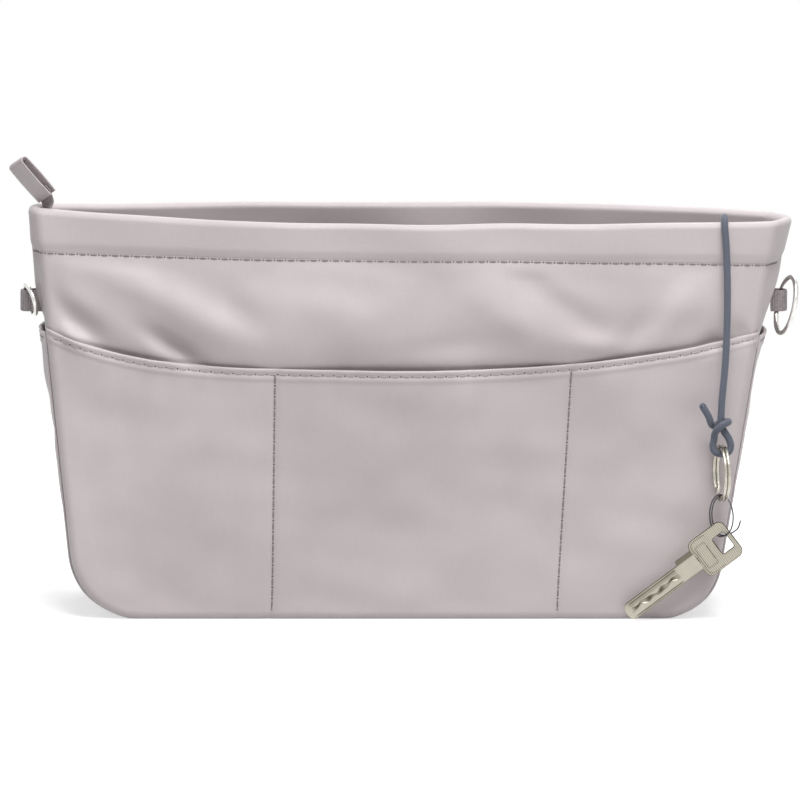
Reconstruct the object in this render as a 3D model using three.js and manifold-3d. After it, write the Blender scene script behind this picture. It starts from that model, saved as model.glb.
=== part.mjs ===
// Purse organizer insert: a soft open-topped fabric bag with three front pockets, rings and a key leash.
// Millimetres. +X right, the pocket front faces -Y, +Z up, origin in the middle of the flat base.
import * as THREE from 'three';
import Module from 'manifold-3d';

// Shell: driving dimensions
const HEIGHT = 170;
const RIM_SAG = 3;
const SAG_LEFT = 0;
const SAG_RIGHT = 4.5;
const BASE_LEFT = 106.4;
const BASE_RIGHT = 110.5;
const CORNER_LEFT = 30;
const CORNER_RIGHT = 26;
const LEAN_LEFT = THREE.MathUtils.degToRad(6.3);
const LEAN_RIGHT = THREE.MathUtils.degToRad(9.6);
const BASE_HALF_DEPTH = 40;
const BELLY_HALF_DEPTH = 42;
const MOUTH_HALF_DEPTH = 38;
const MOUTH_LEFT_HALF = 9;
const MOUTH_RIGHT_HALF = 16;
const PINCH_POWER = 1.3;
const ROUND_LEFT = 1;
const ROUND_RIGHT = 1.4;
const BOW_LEFT = 1.6;
const BOW_RIGHT = 5.4;
const BOW_POWER = 2;
const SAG_POWER = 4;

// Shell: cloth layers, from the outside in
const GAP = 0.3;
const PANEL_CLOTH = 0.7;
const FOAM = 1.4;
const LINING_CLOTH = 0.5;
const GUSSET_CLOTH = 0.7;
const POCKET_CLOTH = 0.7;
const INNER_POCKET_CLOTH = 0.5;
const RIM_CLOTH = 0.6;
const RIM_DEPTH = 17;
const RIM_ROLL = 0.8;
const BOARD = 1.5;
const BOARD_MARGIN = 6;
const PANEL_LIFT = 0.4;

// Pockets
const POCKET_MIDDLE = 106.5;
const POCKET_RISE = 14.5;
const POCKET_SLACK = 0.7;
const POCKET_CURVE_LEFT = 4.5;
const POCKET_CURVE_RIGHT = 2.4;
const SIDE_POCKET_TOP = 119;
const SIDE_POCKET_FLARE = 1.4;
const SIDE_POCKET_START = 0.35;
const INNER_POCKET_BOTTOM = 14;
const INNER_POCKET_TOP = 96;
const INNER_POCKET_REACH = 0.78;

// Side loops and rings
const LOOP_HEIGHT = 130;
const LOOP_CLOTH = 0.8;
const LOOP_WIDTH = 9;
const LOOP_HALF_GAP = 2.8;
const LEFT_LOOP_REACH = 8.5;
const RIGHT_LOOP_REACH = 6;
const D_WIRE = 1;
const D_BAR = 13;
const D_BULGE = 10;
const D_TILT = THREE.MathUtils.degToRad(15);
const D_TURN = THREE.MathUtils.degToRad(15);
const O_WIRE = 1.1;
const O_RADIUS = 12;
const O_TILT = THREE.MathUtils.degToRad(13);
const O_TURN = THREE.MathUtils.degToRad(75);

// Zip
const TAPE_DROP = 15;
const TAPE_FROM = -0.97;
const TAPE_TO = 0.78;
const TAPE_MEET_FROM = -0.7;
const TAPE_MEET_TO = -0.9;
const TOOTH_WIDTH = 1.6;
const TOOTH_DROP = 2.6;
const SLIDER_X = -141;
const SLIDER_LENGTH = 8;
const SLIDER_PLATE_HALF = 4.5;
const SLIDER_PLATE = 1.2;
const SLIDER_WEB = 1.2;
const SLIDER_CAP_HALF = 1;
const SLIDER_CAP = 1;
const ARCH_LENGTH = 5.6;
const ARCH_HEIGHT = 4;
const ARCH_BAR = 1;
const ARCH_WIDTH = 1.6;
const PULL_LENGTH = 18;
const PULL_WIDTH = 6;
const PULL_THICK = 1.2;
const PULL_BAR = 1.2;
const PULL_WINDOW = 4;
const PULL_CHEEK = 1.4;
const PULL_PLAY = 0.45;
const TAIL_CLOTH = 0.6;
const TAIL_WIDTH = 7;
const TAIL_DROP = 20;
const TAIL_BEND = 3;
const TAIL_BEND_DROP = 8;
const TAIL_COLUMNS = 4;
const TAIL_ROWS = 5;
const TAB_LENGTH = 21;
const TAB_WIDTH = 11;
const TAB_CLOTH = 0.8;
const TAB_HALF_GAP = 1.1;
const TAB_LEAN = THREE.MathUtils.degToRad(41);
const TAB_TURN = THREE.MathUtils.degToRad(40);
const TAB_RISE = 3.2;
const TAB_START = 0.6;

// Leash
const CORD = 3;
const CORD_SIDES = 8;
const ANCHOR_WIDTH = 11;
const ANCHOR_HEIGHT = 11;
const ANCHOR_OUT = 5;
const ANCHOR_BELOW_RIM = 21.9;
const ANCHOR_STEPS = 2;
const KNOT_RADIUS = 4.3;
const KNOT_HALF_HEIGHT = 4;
const KNOT_SIDES = 12;
const KNOT_ROWS = 8;
const SPLIT_WIRE = 0.7;
const SPLIT_RADIUS = 11.3;
const SPLIT_SPACING = 1.85;
const SPLIT_TURNS = 1.9;
const SPLIT_TURN = THREE.MathUtils.degToRad(12);
const WIRE_RING_WIRE = 0.35;
const WIRE_RING_HALF_WIDTH = 7.5;
const WIRE_RING_TURN = THREE.MathUtils.degToRad(50);
const WIRE_RING_RISE = 2.3;
const WIRE_RING_FOOT = 36;
const KEY_THICK = 2.2;
const KEY_HEAD_LENGTH = 18.5;
const KEY_HEAD_WIDTH = 17.5;
const KEY_HEAD_ROUND = 3;
const KEY_BLADE_LENGTH = 37;
const KEY_BLADE_WIDTH = 8;
const KEY_TIP = 3;
const KEY_HOLE_LENGTH = 6;
const KEY_HOLE_WIDTH = 8;
const KEY_HOLE_BACK = 4.2;
const KEY_GROOVE = 0.5;
const KEY_GROOVE_WIDTH = 1.6;
const KEY_GROOVE_END = 4;
const KEY_LEAN = THREE.MathUtils.degToRad(37);
const KEY_HANG = 1.6;
const KEY_HANG_BACK = 1;

// Route of the leash cord: up inside the mouth, over the rim, down in front of the wall
const CORD_INSIDE = [
  [139, -16.9, 148.5], [139, -16.6, 150.9], [139, -16, 154.7], [139, -15.5, 158.4],
  [138.9, -15, 162.1], [138.8, -15, 165.2], [138.8, -17.1, 167], [138.7, -19.6, 167.8],
  [138.7, -22.5, 168], [138.7, -24.6, 167.2],
];
const CORD_OUTSIDE = [
  [138.7, -25.6, 166.4], [138.8, -26.8, 163.9], [139.2, -27.9, 159.3], [139.6, -29.7, 151.4],
  [139.8, -32.1, 142], [139.8, -34.5, 132.4], [139.6, -36.8, 122.8], [139.2, -39.2, 113.1],
  [138.5, -41.4, 103.8], [137.5, -43.9, 93.9], [137.1, -45, 89.6],
];
const KNOT_CENTRE = [137, -46.2, 85];
const CORD_LOOP = [
  [135.2, -46.6, 80.5], [133.9, -47.1, 77.5], [133.6, -47.5, 74.3], [134.7, -47.9, 71.9],
  [137.4, -48, 71.1],
  [140.1, -47.9, 71.9], [141.2, -47.5, 74.3], [140.9, -47.1, 77.5], [139.5, -46.6, 80.5],
];
const CORD_TAIL = [[132.9, -47.2, 87.4], [131.2, -47.4, 89.2], [129.4, -47.5, 91.2]];
const SPLIT_CENTRE = [137.4, -48, 63];

const NYLON = { color: 0xbfb6b7, roughness: 0.5, metalness: 0 };
const LINER = { color: 0xaea4a6, roughness: 0.6, metalness: 0 };
const FOAM_GREY = { color: 0xd8d5d2, roughness: 0.9, metalness: 0 };
const BOARD_GREY = { color: 0x77736f, roughness: 0.8, metalness: 0 };
const WEBBING = { color: 0x8f8689, roughness: 0.7, metalness: 0 };
const NICKEL = { color: 0xd9d9d6, roughness: 0.15, metalness: 1 };
const WARM_NICKEL = { color: 0xbfbba6, roughness: 0.25, metalness: 1 };
const DARK_WIRE = { color: 0x55565c, roughness: 0.35, metalness: 1 };
const SLATE_CORD = { color: 0x5c616e, roughness: 0.6, metalness: 0 };
const TAPE_GREY = { color: 0xa79d9f, roughness: 0.7, metalness: 0 };

const wasm = await Module();
wasm.setup();

const insert = new THREE.Group();

function addNode(name, geometry, look, parent = insert) {
  const mesh = new THREE.Mesh(geometry, new THREE.MeshStandardMaterial(look));
  mesh.name = name;
  parent.add(mesh);
  return mesh;
}

function indexed(points, triangles) {
  const geometry = new THREE.BufferGeometry();
  geometry.setAttribute('position', new THREE.Float32BufferAttribute(points.flat(), 3));
  geometry.setIndex(triangles.flat());
  return geometry;
}

// Two grids of points, one for each face, joined round their border into one closed sheet
function sheet(columns, rows, outer, inner) {
  const points = [];
  const triangles = [];
  const wide = columns + 1;
  for (const face of [outer, inner]) {
    for (let row = 0; row <= rows; row += 1) {
      for (let column = 0; column <= columns; column += 1) {
        points.push(face(column / columns, row / rows));
      }
    }
  }
  const far = wide * (rows + 1);
  const quad = (a, b, c, d) => triangles.push([a, b, c], [a, c, d]);
  for (let row = 0; row < rows; row += 1) {
    for (let column = 0; column < columns; column += 1) {
      const a = row * wide + column;
      quad(a, a + 1, a + wide + 1, a + wide);
      quad(far + a, far + a + wide, far + a + wide + 1, far + a + 1);
    }
    const left = row * wide;
    const right = left + columns;
    quad(left, left + wide, far + left + wide, far + left);
    quad(right, far + right, far + right + wide, right + wide);
  }
  for (let column = 0; column < columns; column += 1) {
    const top = rows * wide + column;
    quad(column, far + column, far + column + 1, column + 1);
    quad(top, top + 1, far + top + 1, far + top);
  }
  return indexed(points, triangles);
}

// A closed ring of sections, each a list of the same number of points
function ringSolid(sections) {
  const count = sections[0].length;
  const triangles = [];
  sections.forEach((_, station) => {
    const here = station * count;
    const next = ((station + 1) % sections.length) * count;
    for (let side = 0; side < count; side += 1) {
      const other = (side + 1) % count;
      triangles.push([here + side, next + side, next + other], [here + side, next + other, here + other]);
    }
  });
  return indexed(sections.flat(), triangles);
}

// A round wire along a closed flat curve, given by its points and the curve's own plane normal
function wireLoop(points, radius, sides, normal) {
  const across = new THREE.Vector3(...normal).normalize();
  const sections = points.map((point, index) => {
    const before = points[(index + points.length - 1) % points.length];
    const after = points[(index + 1) % points.length];
    const along = after.clone().sub(before).normalize();
    const outward = along.clone().cross(across);
    return Array.from({ length: sides }, (_, side) => {
      const angle = (2 * Math.PI * side) / sides;
      return point.clone()
        .addScaledVector(outward, radius * Math.cos(angle))
        .addScaledVector(across, radius * Math.sin(angle))
        .toArray();
    });
  });
  return ringSolid(sections);
}

function circleShape(radius, sides) {
  const corners = Array.from({ length: sides }, (_, side) => {
    const angle = (2 * Math.PI * side) / sides;
    return new THREE.Vector2(radius * Math.cos(angle), radius * Math.sin(angle));
  });
  return new THREE.Shape(corners);
}

function tube(curve, radius, sides, steps) {
  const settings = { steps, extrudePath: curve, bevelEnabled: false };
  return new THREE.ExtrudeGeometry(circleShape(radius, sides), settings);
}

function routeCurve(route) {
  return new THREE.CatmullRomCurve3(route.map((point) => new THREE.Vector3(...point)));
}

function toSolid(geometry) {
  const merged = new Map();
  const vertices = [];
  const position = geometry.getAttribute('position');
  const order = geometry.index ? Array.from(geometry.index.array) : [...Array(position.count).keys()];
  const places = order.map((index) => {
    const point = [position.getX(index), position.getY(index), position.getZ(index)];
    const key = point.map((value) => value.toFixed(5)).join();
    if (!merged.has(key)) {
      merged.set(key, merged.size);
      vertices.push(...point);
    }
    return merged.get(key);
  });
  const vertProperties = new Float32Array(vertices);
  const triVerts = new Uint32Array(places);
  return new wasm.Manifold(new wasm.Mesh({ numProp: 3, vertProperties, triVerts }));
}

function fromSolid(solid) {
  const mesh = solid.getMesh();
  const geometry = new THREE.BufferGeometry();
  geometry.setAttribute('position', new THREE.Float32BufferAttribute(mesh.vertProperties, 3));
  geometry.setIndex(new THREE.BufferAttribute(new Uint32Array(mesh.triVerts), 1));
  return geometry;
}

// Outline of the front view: flat base, round corners, leaning sides. inset moves it inwards.
const SIDES = {
  left: {
    sign: -1,
    base: BASE_LEFT,
    corner: CORNER_LEFT,
    lean: LEAN_LEFT,
    bow: BOW_LEFT,
    mouth: MOUTH_LEFT_HALF,
    sag: SAG_LEFT,
  },
  right: {
    sign: 1,
    base: BASE_RIGHT,
    corner: CORNER_RIGHT,
    lean: LEAN_RIGHT,
    bow: BOW_RIGHT,
    mouth: MOUTH_RIGHT_HALF,
    sag: SAG_RIGHT,
  },
};

function edgeX(side, z, inset) {
  const { sign, base, corner, lean } = side;
  const radius = corner - inset;
  const tangent = corner - radius * Math.sin(lean);
  if (z >= tangent) {
    return sign * (base + radius * Math.cos(lean) + (z - tangent) * Math.tan(lean));
  }
  return sign * (base + Math.sqrt(Math.max(radius ** 2 - (z - corner) ** 2, 0)));
}

function edgeHalfDepth(side, z) {
  return BASE_HALF_DEPTH - (BASE_HALF_DEPTH - side.mouth) * Math.max(z / HEIGHT, 0) ** PINCH_POWER;
}

function middleHalfDepth(z) {
  const share = z / HEIGHT;
  const straight = BASE_HALF_DEPTH + (MOUTH_HALF_DEPTH - BASE_HALF_DEPTH) * share;
  return straight + 4 * (BELLY_HALF_DEPTH - (BASE_HALF_DEPTH + MOUTH_HALF_DEPTH) / 2) * share * (1 - share);
}

function wallHalfDepth(u, z) {
  const side = u < 0 ? SIDES.left : SIDES.right;
  const power = u < 0 ? ROUND_LEFT : ROUND_RIGHT;
  const middle = middleHalfDepth(z);
  const drawn = (1 - Math.cos((Math.PI * Math.abs(u)) / 2)) ** power;
  return middle - (middle - edgeHalfDepth(side, z)) * drawn;
}

function rimShare(z) {
  return Math.max(z / HEIGHT, 0) ** SAG_POWER;
}

function sag(u, z) {
  const side = u < 0 ? SIDES.left : SIDES.right;
  return (RIM_SAG + (side.sag - RIM_SAG) * u * u) * rimShare(z);
}

function sideSag(side, z) {
  return side.sag * rimShare(z);
}

// A point of the front (face -1) or back (face 1) wall, depth mm in from its outer face
function wallPoint(face, u, z, depth, inset) {
  const left = edgeX(SIDES.left, z, inset);
  const right = edgeX(SIDES.right, z, inset);
  const x = left + ((right - left) * (u + 1)) / 2;
  return [x, face * (wallHalfDepth(u, z) - depth), z - sag(u, z)];
}

function sideBow(side, z) {
  return side.bow * (z / HEIGHT) ** BOW_POWER;
}

const ROW_EASE = 1.6;
const WALL_COLUMNS = 12;
const WALL_ROWS = 8;
const STACK_TOP = HEIGHT - RIM_CLOTH - GAP;
const SIDE_STACK = GUSSET_CLOTH + GAP + LINING_CLOTH;
const FOAM_DEPTH = PANEL_CLOTH + GAP;
const LINING_DEPTH = FOAM_DEPTH + FOAM + GAP;
const STACK = LINING_DEPTH + LINING_CLOTH;
const INNER_DEPTH = STACK + GAP;
const LOOSE_DEPTH = INNER_DEPTH + GAP;

function flip(face, u) {
  return face < 0 ? u : -u;
}

// A wall sheet between two depths, from z low(u) to z high(u), over u from -reach to reach
function wallSheet(face, { depth, cloth, inset, low, high, reach = 1 }) {
  const at = (extra) => (column, row) => {
    const u = flip(face, (2 * column - 1) * reach);
    const z = low + (high(u) - low) * row ** ROW_EASE;
    return wallPoint(face, u, z, depth + extra, inset);
  };
  return sheet(WALL_COLUMNS, WALL_ROWS, at(0), at(cloth));
}

function wallLayers(name, face) {
  const stackTop = () => STACK_TOP;
  const within = SIDE_STACK + GAP;
  addNode(`${name}_panel`, wallSheet(face, {
    depth: 0, cloth: PANEL_CLOTH, inset: 0, low: PANEL_LIFT, high: stackTop,
  }), NYLON);
  addNode(`${name}_foam`, wallSheet(face, {
    depth: FOAM_DEPTH, cloth: FOAM, inset: within, low: within, high: stackTop,
  }), FOAM_GREY);
  addNode(`${name}_lining`, wallSheet(face, {
    depth: LINING_DEPTH, cloth: LINING_CLOTH, inset: within, low: within, high: stackTop,
  }), LINER);
}

function pocketTop(u) {
  const power = u < 0 ? POCKET_CURVE_LEFT : POCKET_CURVE_RIGHT;
  return POCKET_MIDDLE + POCKET_RISE * Math.abs(u) ** power;
}

function wallPockets(name, face) {
  const outside = -POCKET_SLACK - POCKET_CLOTH;
  addNode(`${name}_pocket`, wallSheet(face, {
    depth: outside, cloth: POCKET_CLOTH, inset: 0, low: PANEL_LIFT, high: pocketTop,
  }), NYLON);
  addNode(`inner_${name}_pocket`, wallSheet(face, {
    depth: LOOSE_DEPTH, cloth: INNER_POCKET_CLOTH, inset: SIDE_STACK + GAP, low: INNER_POCKET_BOTTOM,
    high: () => INNER_POCKET_TOP, reach: INNER_POCKET_REACH,
  }), LINER);
}

// The gusset's path, as stations of outline point and outward normal, from the left mouth round to the right
const SIDE_STEPS = 6;
const CORNER_STEPS = 5;
const BASE_STEPS = 4;

function gussetStation(side, share, inset, top) {
  const { sign, base, corner, lean } = side;
  const arc = Math.PI / 2 - lean;
  const radius = corner - inset;
  if (share <= 1) {
    const angle = -Math.PI / 2 + arc * share;
    return { side, x: sign * (base + radius * Math.cos(angle)), z: corner + radius * Math.sin(angle) };
  }
  const tangent = corner - radius * Math.sin(lean);
  const z = tangent + (top - tangent) * (share - 1);
  return { side, x: edgeX(side, z, inset), z };
}

function gussetPath(inset, top) {
  const half = (side) => {
    const stations = [];
    for (let step = 0; step <= CORNER_STEPS + SIDE_STEPS; step += 1) {
      const share = step <= CORNER_STEPS ? step / CORNER_STEPS : 1 + (step - CORNER_STEPS) / SIDE_STEPS;
      stations.push(gussetStation(side, share, inset, top));
    }
    return stations;
  };
  const left = half(SIDES.left).reverse();
  const right = half(SIDES.right);
  const from = left[left.length - 1];
  const middle = Array.from({ length: BASE_STEPS - 1 }, (_, step) => {
    const share = (step + 1) / BASE_STEPS;
    return { side: SIDES.left, x: from.x + (right[0].x - from.x) * share, z: from.z };
  });
  return [...left, ...middle, ...right];
}

const GUSSET_COLUMNS = 6;

function gussetSheet(inset, cloth) {
  const faces = [inset, inset + cloth].map((offset) => gussetPath(offset, STACK_TOP));
  const at = (stations) => (column, row) => {
    const { side, x, z } = stations[Math.round(row * (stations.length - 1))];
    const w = 2 * column - 1;
    const y = w * (edgeHalfDepth(side, z) - PANEL_CLOTH - GAP);
    return [x + side.sign * sideBow(side, z) * (1 - w * w), y, z - sideSag(side, z)];
  };
  return sheet(GUSSET_COLUMNS, faces[0].length - 1, at(faces[0]), at(faces[1]));
}

function gussetLayers() {
  addNode('gusset', gussetSheet(0, GUSSET_CLOTH), NYLON);
  addNode('gusset_lining', gussetSheet(GUSSET_CLOTH + GAP, LINING_CLOTH), LINER);
}

function sidePocket(name, side) {
  const at = (inset) => (column, row) => {
    const rise = side.sign > 0 ? row : 1 - row;
    const share = SIDE_POCKET_START + (2 - SIDE_POCKET_START) * rise;
    const { x, z } = gussetStation(side, share, inset, SIDE_POCKET_TOP);
    const w = 2 * column - 1;
    const flare = SIDE_POCKET_FLARE * (z / SIDE_POCKET_TOP) ** BOW_POWER;
    const out = (sideBow(side, z) + flare) * (1 - w * w);
    const y = w * (edgeHalfDepth(side, z) - PANEL_CLOTH - GAP);
    return [x + side.sign * out, y, z - sideSag(side, z)];
  };
  const steps = CORNER_STEPS + SIDE_STEPS;
  addNode(name, sheet(GUSSET_COLUMNS, steps, at(-GAP - POCKET_CLOTH), at(-GAP)), NYLON);
}

function baseBoard() {
  const length = BASE_LEFT + BASE_RIGHT - 2 * BOARD_MARGIN;
  const width = 2 * (BASE_HALF_DEPTH - INNER_DEPTH - GAP);
  const board = addNode('base_board', new THREE.BoxGeometry(length, width, BOARD), BOARD_GREY);
  board.position.set((BASE_RIGHT - BASE_LEFT) / 2, 0, SIDE_STACK + GAP + BOARD / 2);
}

// Rim band: an upside-down U that folds over the mouth's raw edges, all the way round
const MOUTH_END_STEPS = 5;
const RIM_OUTER = -GAP - RIM_CLOTH;
const RIM_INNER = INNER_DEPTH + RIM_CLOTH;
const RIM_FOOT = HEIGHT - RIM_DEPTH;

function mouthPoint({ face, side, along }, z, depth) {
  if (face) {
    return wallPoint(face, along, z, depth, depth);
  }
  const bow = side.sign * sideBow(side, z) * (1 - along * along);
  const y = along * (edgeHalfDepth(side, z) - depth);
  return [edgeX(side, z, depth) + bow, y, z - sideSag(side, z)];
}

function rimBand() {
  const wall = Array.from({ length: WALL_COLUMNS + 1 }, (_, step) => (2 * step) / WALL_COLUMNS - 1);
  const endStep = 2 / (MOUTH_END_STEPS + 1);
  const end = Array.from({ length: MOUTH_END_STEPS }, (_, step) => endStep * (step + 1) - 1);
  const stations = [
    ...wall.map((along) => ({ face: -1, along })),
    ...end.map((along) => ({ side: SIDES.right, along })),
    ...wall.map((along) => ({ face: 1, along: -along })),
    ...end.map((along) => ({ side: SIDES.left, along: -along })),
  ];
  const profile = [
    [RIM_OUTER, RIM_FOOT], [RIM_OUTER, HEIGHT - RIM_ROLL], [RIM_OUTER + RIM_ROLL, HEIGHT],
    [RIM_INNER - RIM_ROLL, HEIGHT], [RIM_INNER, HEIGHT - RIM_ROLL], [RIM_INNER, RIM_FOOT],
    [RIM_INNER - RIM_CLOTH, RIM_FOOT], [RIM_INNER - RIM_CLOTH, HEIGHT - RIM_CLOTH],
    [RIM_OUTER + RIM_CLOTH, HEIGHT - RIM_CLOTH], [RIM_OUTER + RIM_CLOTH, RIM_FOOT],
  ];
  const sections = stations.map((station) => profile.map(([depth, z]) => mouthPoint(station, z, depth)));
  addNode('rim_band', ringSolid(sections), NYLON);
}

// A strip folded double, as an outline of two legs and a round fold at the far end, along +x
function hairpin(from, reach, halfGap, cloth) {
  const outer = halfGap + cloth;
  const turn = reach - outer;
  const shape = new THREE.Shape();
  shape.moveTo(from, -outer);
  shape.lineTo(turn, -outer);
  shape.absarc(turn, 0, outer, -Math.PI / 2, Math.PI / 2, false);
  shape.lineTo(from, outer);
  shape.lineTo(from, halfGap);
  shape.lineTo(turn, halfGap);
  shape.absarc(turn, 0, halfGap, Math.PI / 2, -Math.PI / 2, true);
  shape.lineTo(from, -halfGap);
  shape.closePath();
  return shape;
}

const LOOP_CURVE_STEPS = 6;

function loopBase(side) {
  const top = LOOP_HEIGHT + LOOP_WIDTH / 2;
  const sewn = top + sideSag(side, top) + GAP;
  return edgeX(side, sewn, 0) + side.sign * (sideBow(side, sewn) + GAP);
}

function strapLoop(name, side, reach) {
  const shape = hairpin(0, reach, LOOP_HALF_GAP, LOOP_CLOTH);
  const geometry = new THREE.ExtrudeGeometry(shape, {
    depth: LOOP_WIDTH, bevelEnabled: false, curveSegments: LOOP_CURVE_STEPS,
  });
  const loop = addNode(name, geometry, WEBBING);
  loop.position.set(loopBase(side), 0, LOOP_HEIGHT - (side.sign * LOOP_WIDTH) / 2);
  loop.rotation.y = side.sign > 0 ? 0 : Math.PI;
}

function tunnelGroup(side, reach, tilt) {
  const group = new THREE.Group();
  const centre = loopBase(side) + side.sign * (reach - LOOP_CLOTH - LOOP_HALF_GAP);
  group.position.set(centre, 0, LOOP_HEIGHT);
  group.rotation.y = tilt;
  insert.add(group);
  return group;
}

const RING_STEPS = 24;
const RING_SIDES = 8;
const BAR_STEPS = 3;

function leftRing() {
  const points = [];
  for (let step = 0; step <= RING_STEPS / 2; step += 1) {
    const angle = Math.PI * (0.5 - (2 * step) / RING_STEPS);
    points.push(new THREE.Vector3(0, -D_BULGE * Math.cos(angle), (D_BAR / 2) * Math.sin(angle)));
  }
  for (let step = 1; step < BAR_STEPS; step += 1) {
    points.push(new THREE.Vector3(0, 0, D_BAR * (step / BAR_STEPS - 0.5)));
  }
  const group = tunnelGroup(SIDES.left, LEFT_LOOP_REACH, -D_TILT);
  const ring = addNode('left_d_ring', wireLoop(points, D_WIRE, RING_SIDES, [1, 0, 0]), NICKEL, group);
  ring.rotation.z = D_TURN;
}

function rightRing() {
  const points = Array.from({ length: RING_STEPS }, (_, step) => {
    const angle = (2 * Math.PI * step) / RING_STEPS;
    return new THREE.Vector3(0, -O_RADIUS + O_RADIUS * Math.cos(angle), O_RADIUS * Math.sin(angle));
  });
  const group = tunnelGroup(SIDES.right, RIGHT_LOOP_REACH, O_TILT);
  const ring = addNode('right_o_ring', wireLoop(points, O_WIRE, RING_SIDES, [1, 0, 0]), NICKEL, group);
  ring.rotation.z = Math.PI / 2 - O_TURN;
}

// Zip: both tapes hang from the rim band's inner leg, and draw together at the left, at the slider
const TAPE_TOP = RIM_FOOT - GAP;
const TAPE_FOOT = TAPE_TOP - TAPE_DROP;
const TAPE_COLUMNS = 14;
const TAPE_ROWS = 2;
const TOOTH_ROWS = 1;
const MEET_HALF = SLIDER_WEB / 2 + GAP + TOOTH_WIDTH;

function tapeFootDepth(u) {
  const meeting = THREE.MathUtils.smoothstep(-u, -TAPE_MEET_FROM, -TAPE_MEET_TO);
  return THREE.MathUtils.lerp(LOOSE_DEPTH, wallHalfDepth(u, TAPE_FOOT) - MEET_HALF, meeting);
}

function zipRow(face, depthAt, cloth, low, high, rows) {
  const at = (extra) => (column, row) => {
    const share = face < 0 ? column : 1 - column;
    const u = TAPE_FROM + (TAPE_TO - TAPE_FROM) * share;
    const z = low + (high - low) * row;
    const [x, , height] = wallPoint(face, u, z, 0, LOOSE_DEPTH);
    return [x, face * (wallHalfDepth(u, z) - depthAt(u, row) - extra), height];
  };
  return sheet(TAPE_COLUMNS, rows, at(0), at(cloth));
}

function zipSide(name, face) {
  const tapeDepth = (u, row) => THREE.MathUtils.lerp(tapeFootDepth(u), LOOSE_DEPTH, row);
  const tape = zipRow(face, tapeDepth, RIM_CLOTH, TAPE_FOOT, TAPE_TOP, TAPE_ROWS);
  addNode(`zip_tape_${name}`, tape, TAPE_GREY);
  const toothTop = TAPE_FOOT - GAP;
  const toothDepth = (u, row) => {
    const z = toothTop + TOOTH_DROP * (row - 1);
    return tapeFootDepth(u) + wallHalfDepth(u, z) - wallHalfDepth(u, TAPE_FOOT);
  };
  const teeth = zipRow(face, toothDepth, TOOTH_WIDTH, toothTop - TOOTH_DROP, toothTop, TOOTH_ROWS);
  addNode(`zip_teeth_${name}`, teeth, NICKEL);
}

const SLIDER_TOP = TAPE_FOOT - 2 * GAP - TOOTH_DROP - GAP;
const ARCH_TOP = SLIDER_TOP - SLIDER_PLATE;

function zipSlider() {
  const webTop = TAPE_FOOT + GAP;
  const profile = new THREE.Shape([
    [-SLIDER_PLATE_HALF, ARCH_TOP], [SLIDER_PLATE_HALF, ARCH_TOP], [SLIDER_PLATE_HALF, SLIDER_TOP],
    [SLIDER_WEB / 2, SLIDER_TOP], [SLIDER_WEB / 2, webTop], [SLIDER_CAP_HALF, webTop],
    [SLIDER_CAP_HALF, webTop + SLIDER_CAP], [-SLIDER_CAP_HALF, webTop + SLIDER_CAP],
    [-SLIDER_CAP_HALF, webTop], [-SLIDER_WEB / 2, webTop], [-SLIDER_WEB / 2, SLIDER_TOP],
    [-SLIDER_PLATE_HALF, SLIDER_TOP],
  ].map(([y, z]) => new THREE.Vector2(y, z)));
  const body = new THREE.ExtrudeGeometry(profile, { depth: SLIDER_LENGTH, bevelEnabled: false });
  body.rotateX(Math.PI / 2);
  body.rotateZ(Math.PI / 2);
  body.translate(SLIDER_X - SLIDER_LENGTH / 2, 0, 0);
  const half = ARCH_LENGTH / 2;
  const inner = half - ARCH_BAR;
  const foot = ARCH_TOP - ARCH_HEIGHT;
  const arch = new THREE.Shape([
    [-half, foot], [half, foot], [half, SLIDER_TOP - GAP], [inner, SLIDER_TOP - GAP],
    [inner, foot + ARCH_BAR], [-inner, foot + ARCH_BAR], [-inner, SLIDER_TOP - GAP],
    [-half, SLIDER_TOP - GAP],
  ].map(([x, z]) => new THREE.Vector2(x, z)));
  const bridge = new THREE.ExtrudeGeometry(arch, { depth: ARCH_WIDTH, bevelEnabled: false });
  bridge.rotateX(Math.PI / 2);
  bridge.translate(SLIDER_X, ARCH_WIDTH / 2, 0);
  addNode('zip_slider', fromSolid(toSolid(body).add(toSolid(bridge))), NICKEL);
}

function zipPull() {
  const pivot = ARCH_TOP - ARCH_HEIGHT + ARCH_BAR + PULL_PLAY + PULL_BAR / 2;
  const top = PULL_BAR / 2;
  const half = PULL_WIDTH / 2;
  const plate = new THREE.Shape([
    [-half, top - PULL_LENGTH], [half, top - PULL_LENGTH], [half, top], [-half, top],
  ].map(([y, z]) => new THREE.Vector2(y, z)));
  const side = half - PULL_CHEEK;
  plate.holes.push(new THREE.Path([
    [-side, -top], [side, -top], [side, -top - PULL_WINDOW], [-side, -top - PULL_WINDOW],
  ].map(([y, z]) => new THREE.Vector2(y, z))));
  const geometry = new THREE.ExtrudeGeometry(plate, { depth: PULL_THICK, bevelEnabled: false });
  geometry.translate(0, 0, -PULL_THICK / 2);
  geometry.rotateX(Math.PI / 2);
  geometry.rotateZ(Math.PI / 2);
  const pull = addNode('zip_pull', geometry, NICKEL);
  pull.position.set(SLIDER_X, 0, pivot);
}

function tailX(z, extra, y) {
  const depth = RIM_INNER + GAP + extra;
  const w = y / (edgeHalfDepth(SIDES.left, z) - RIM_INNER);
  return edgeX(SIDES.left, z, depth) - sideBow(SIDES.left, z) * (1 - w * w);
}

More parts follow.
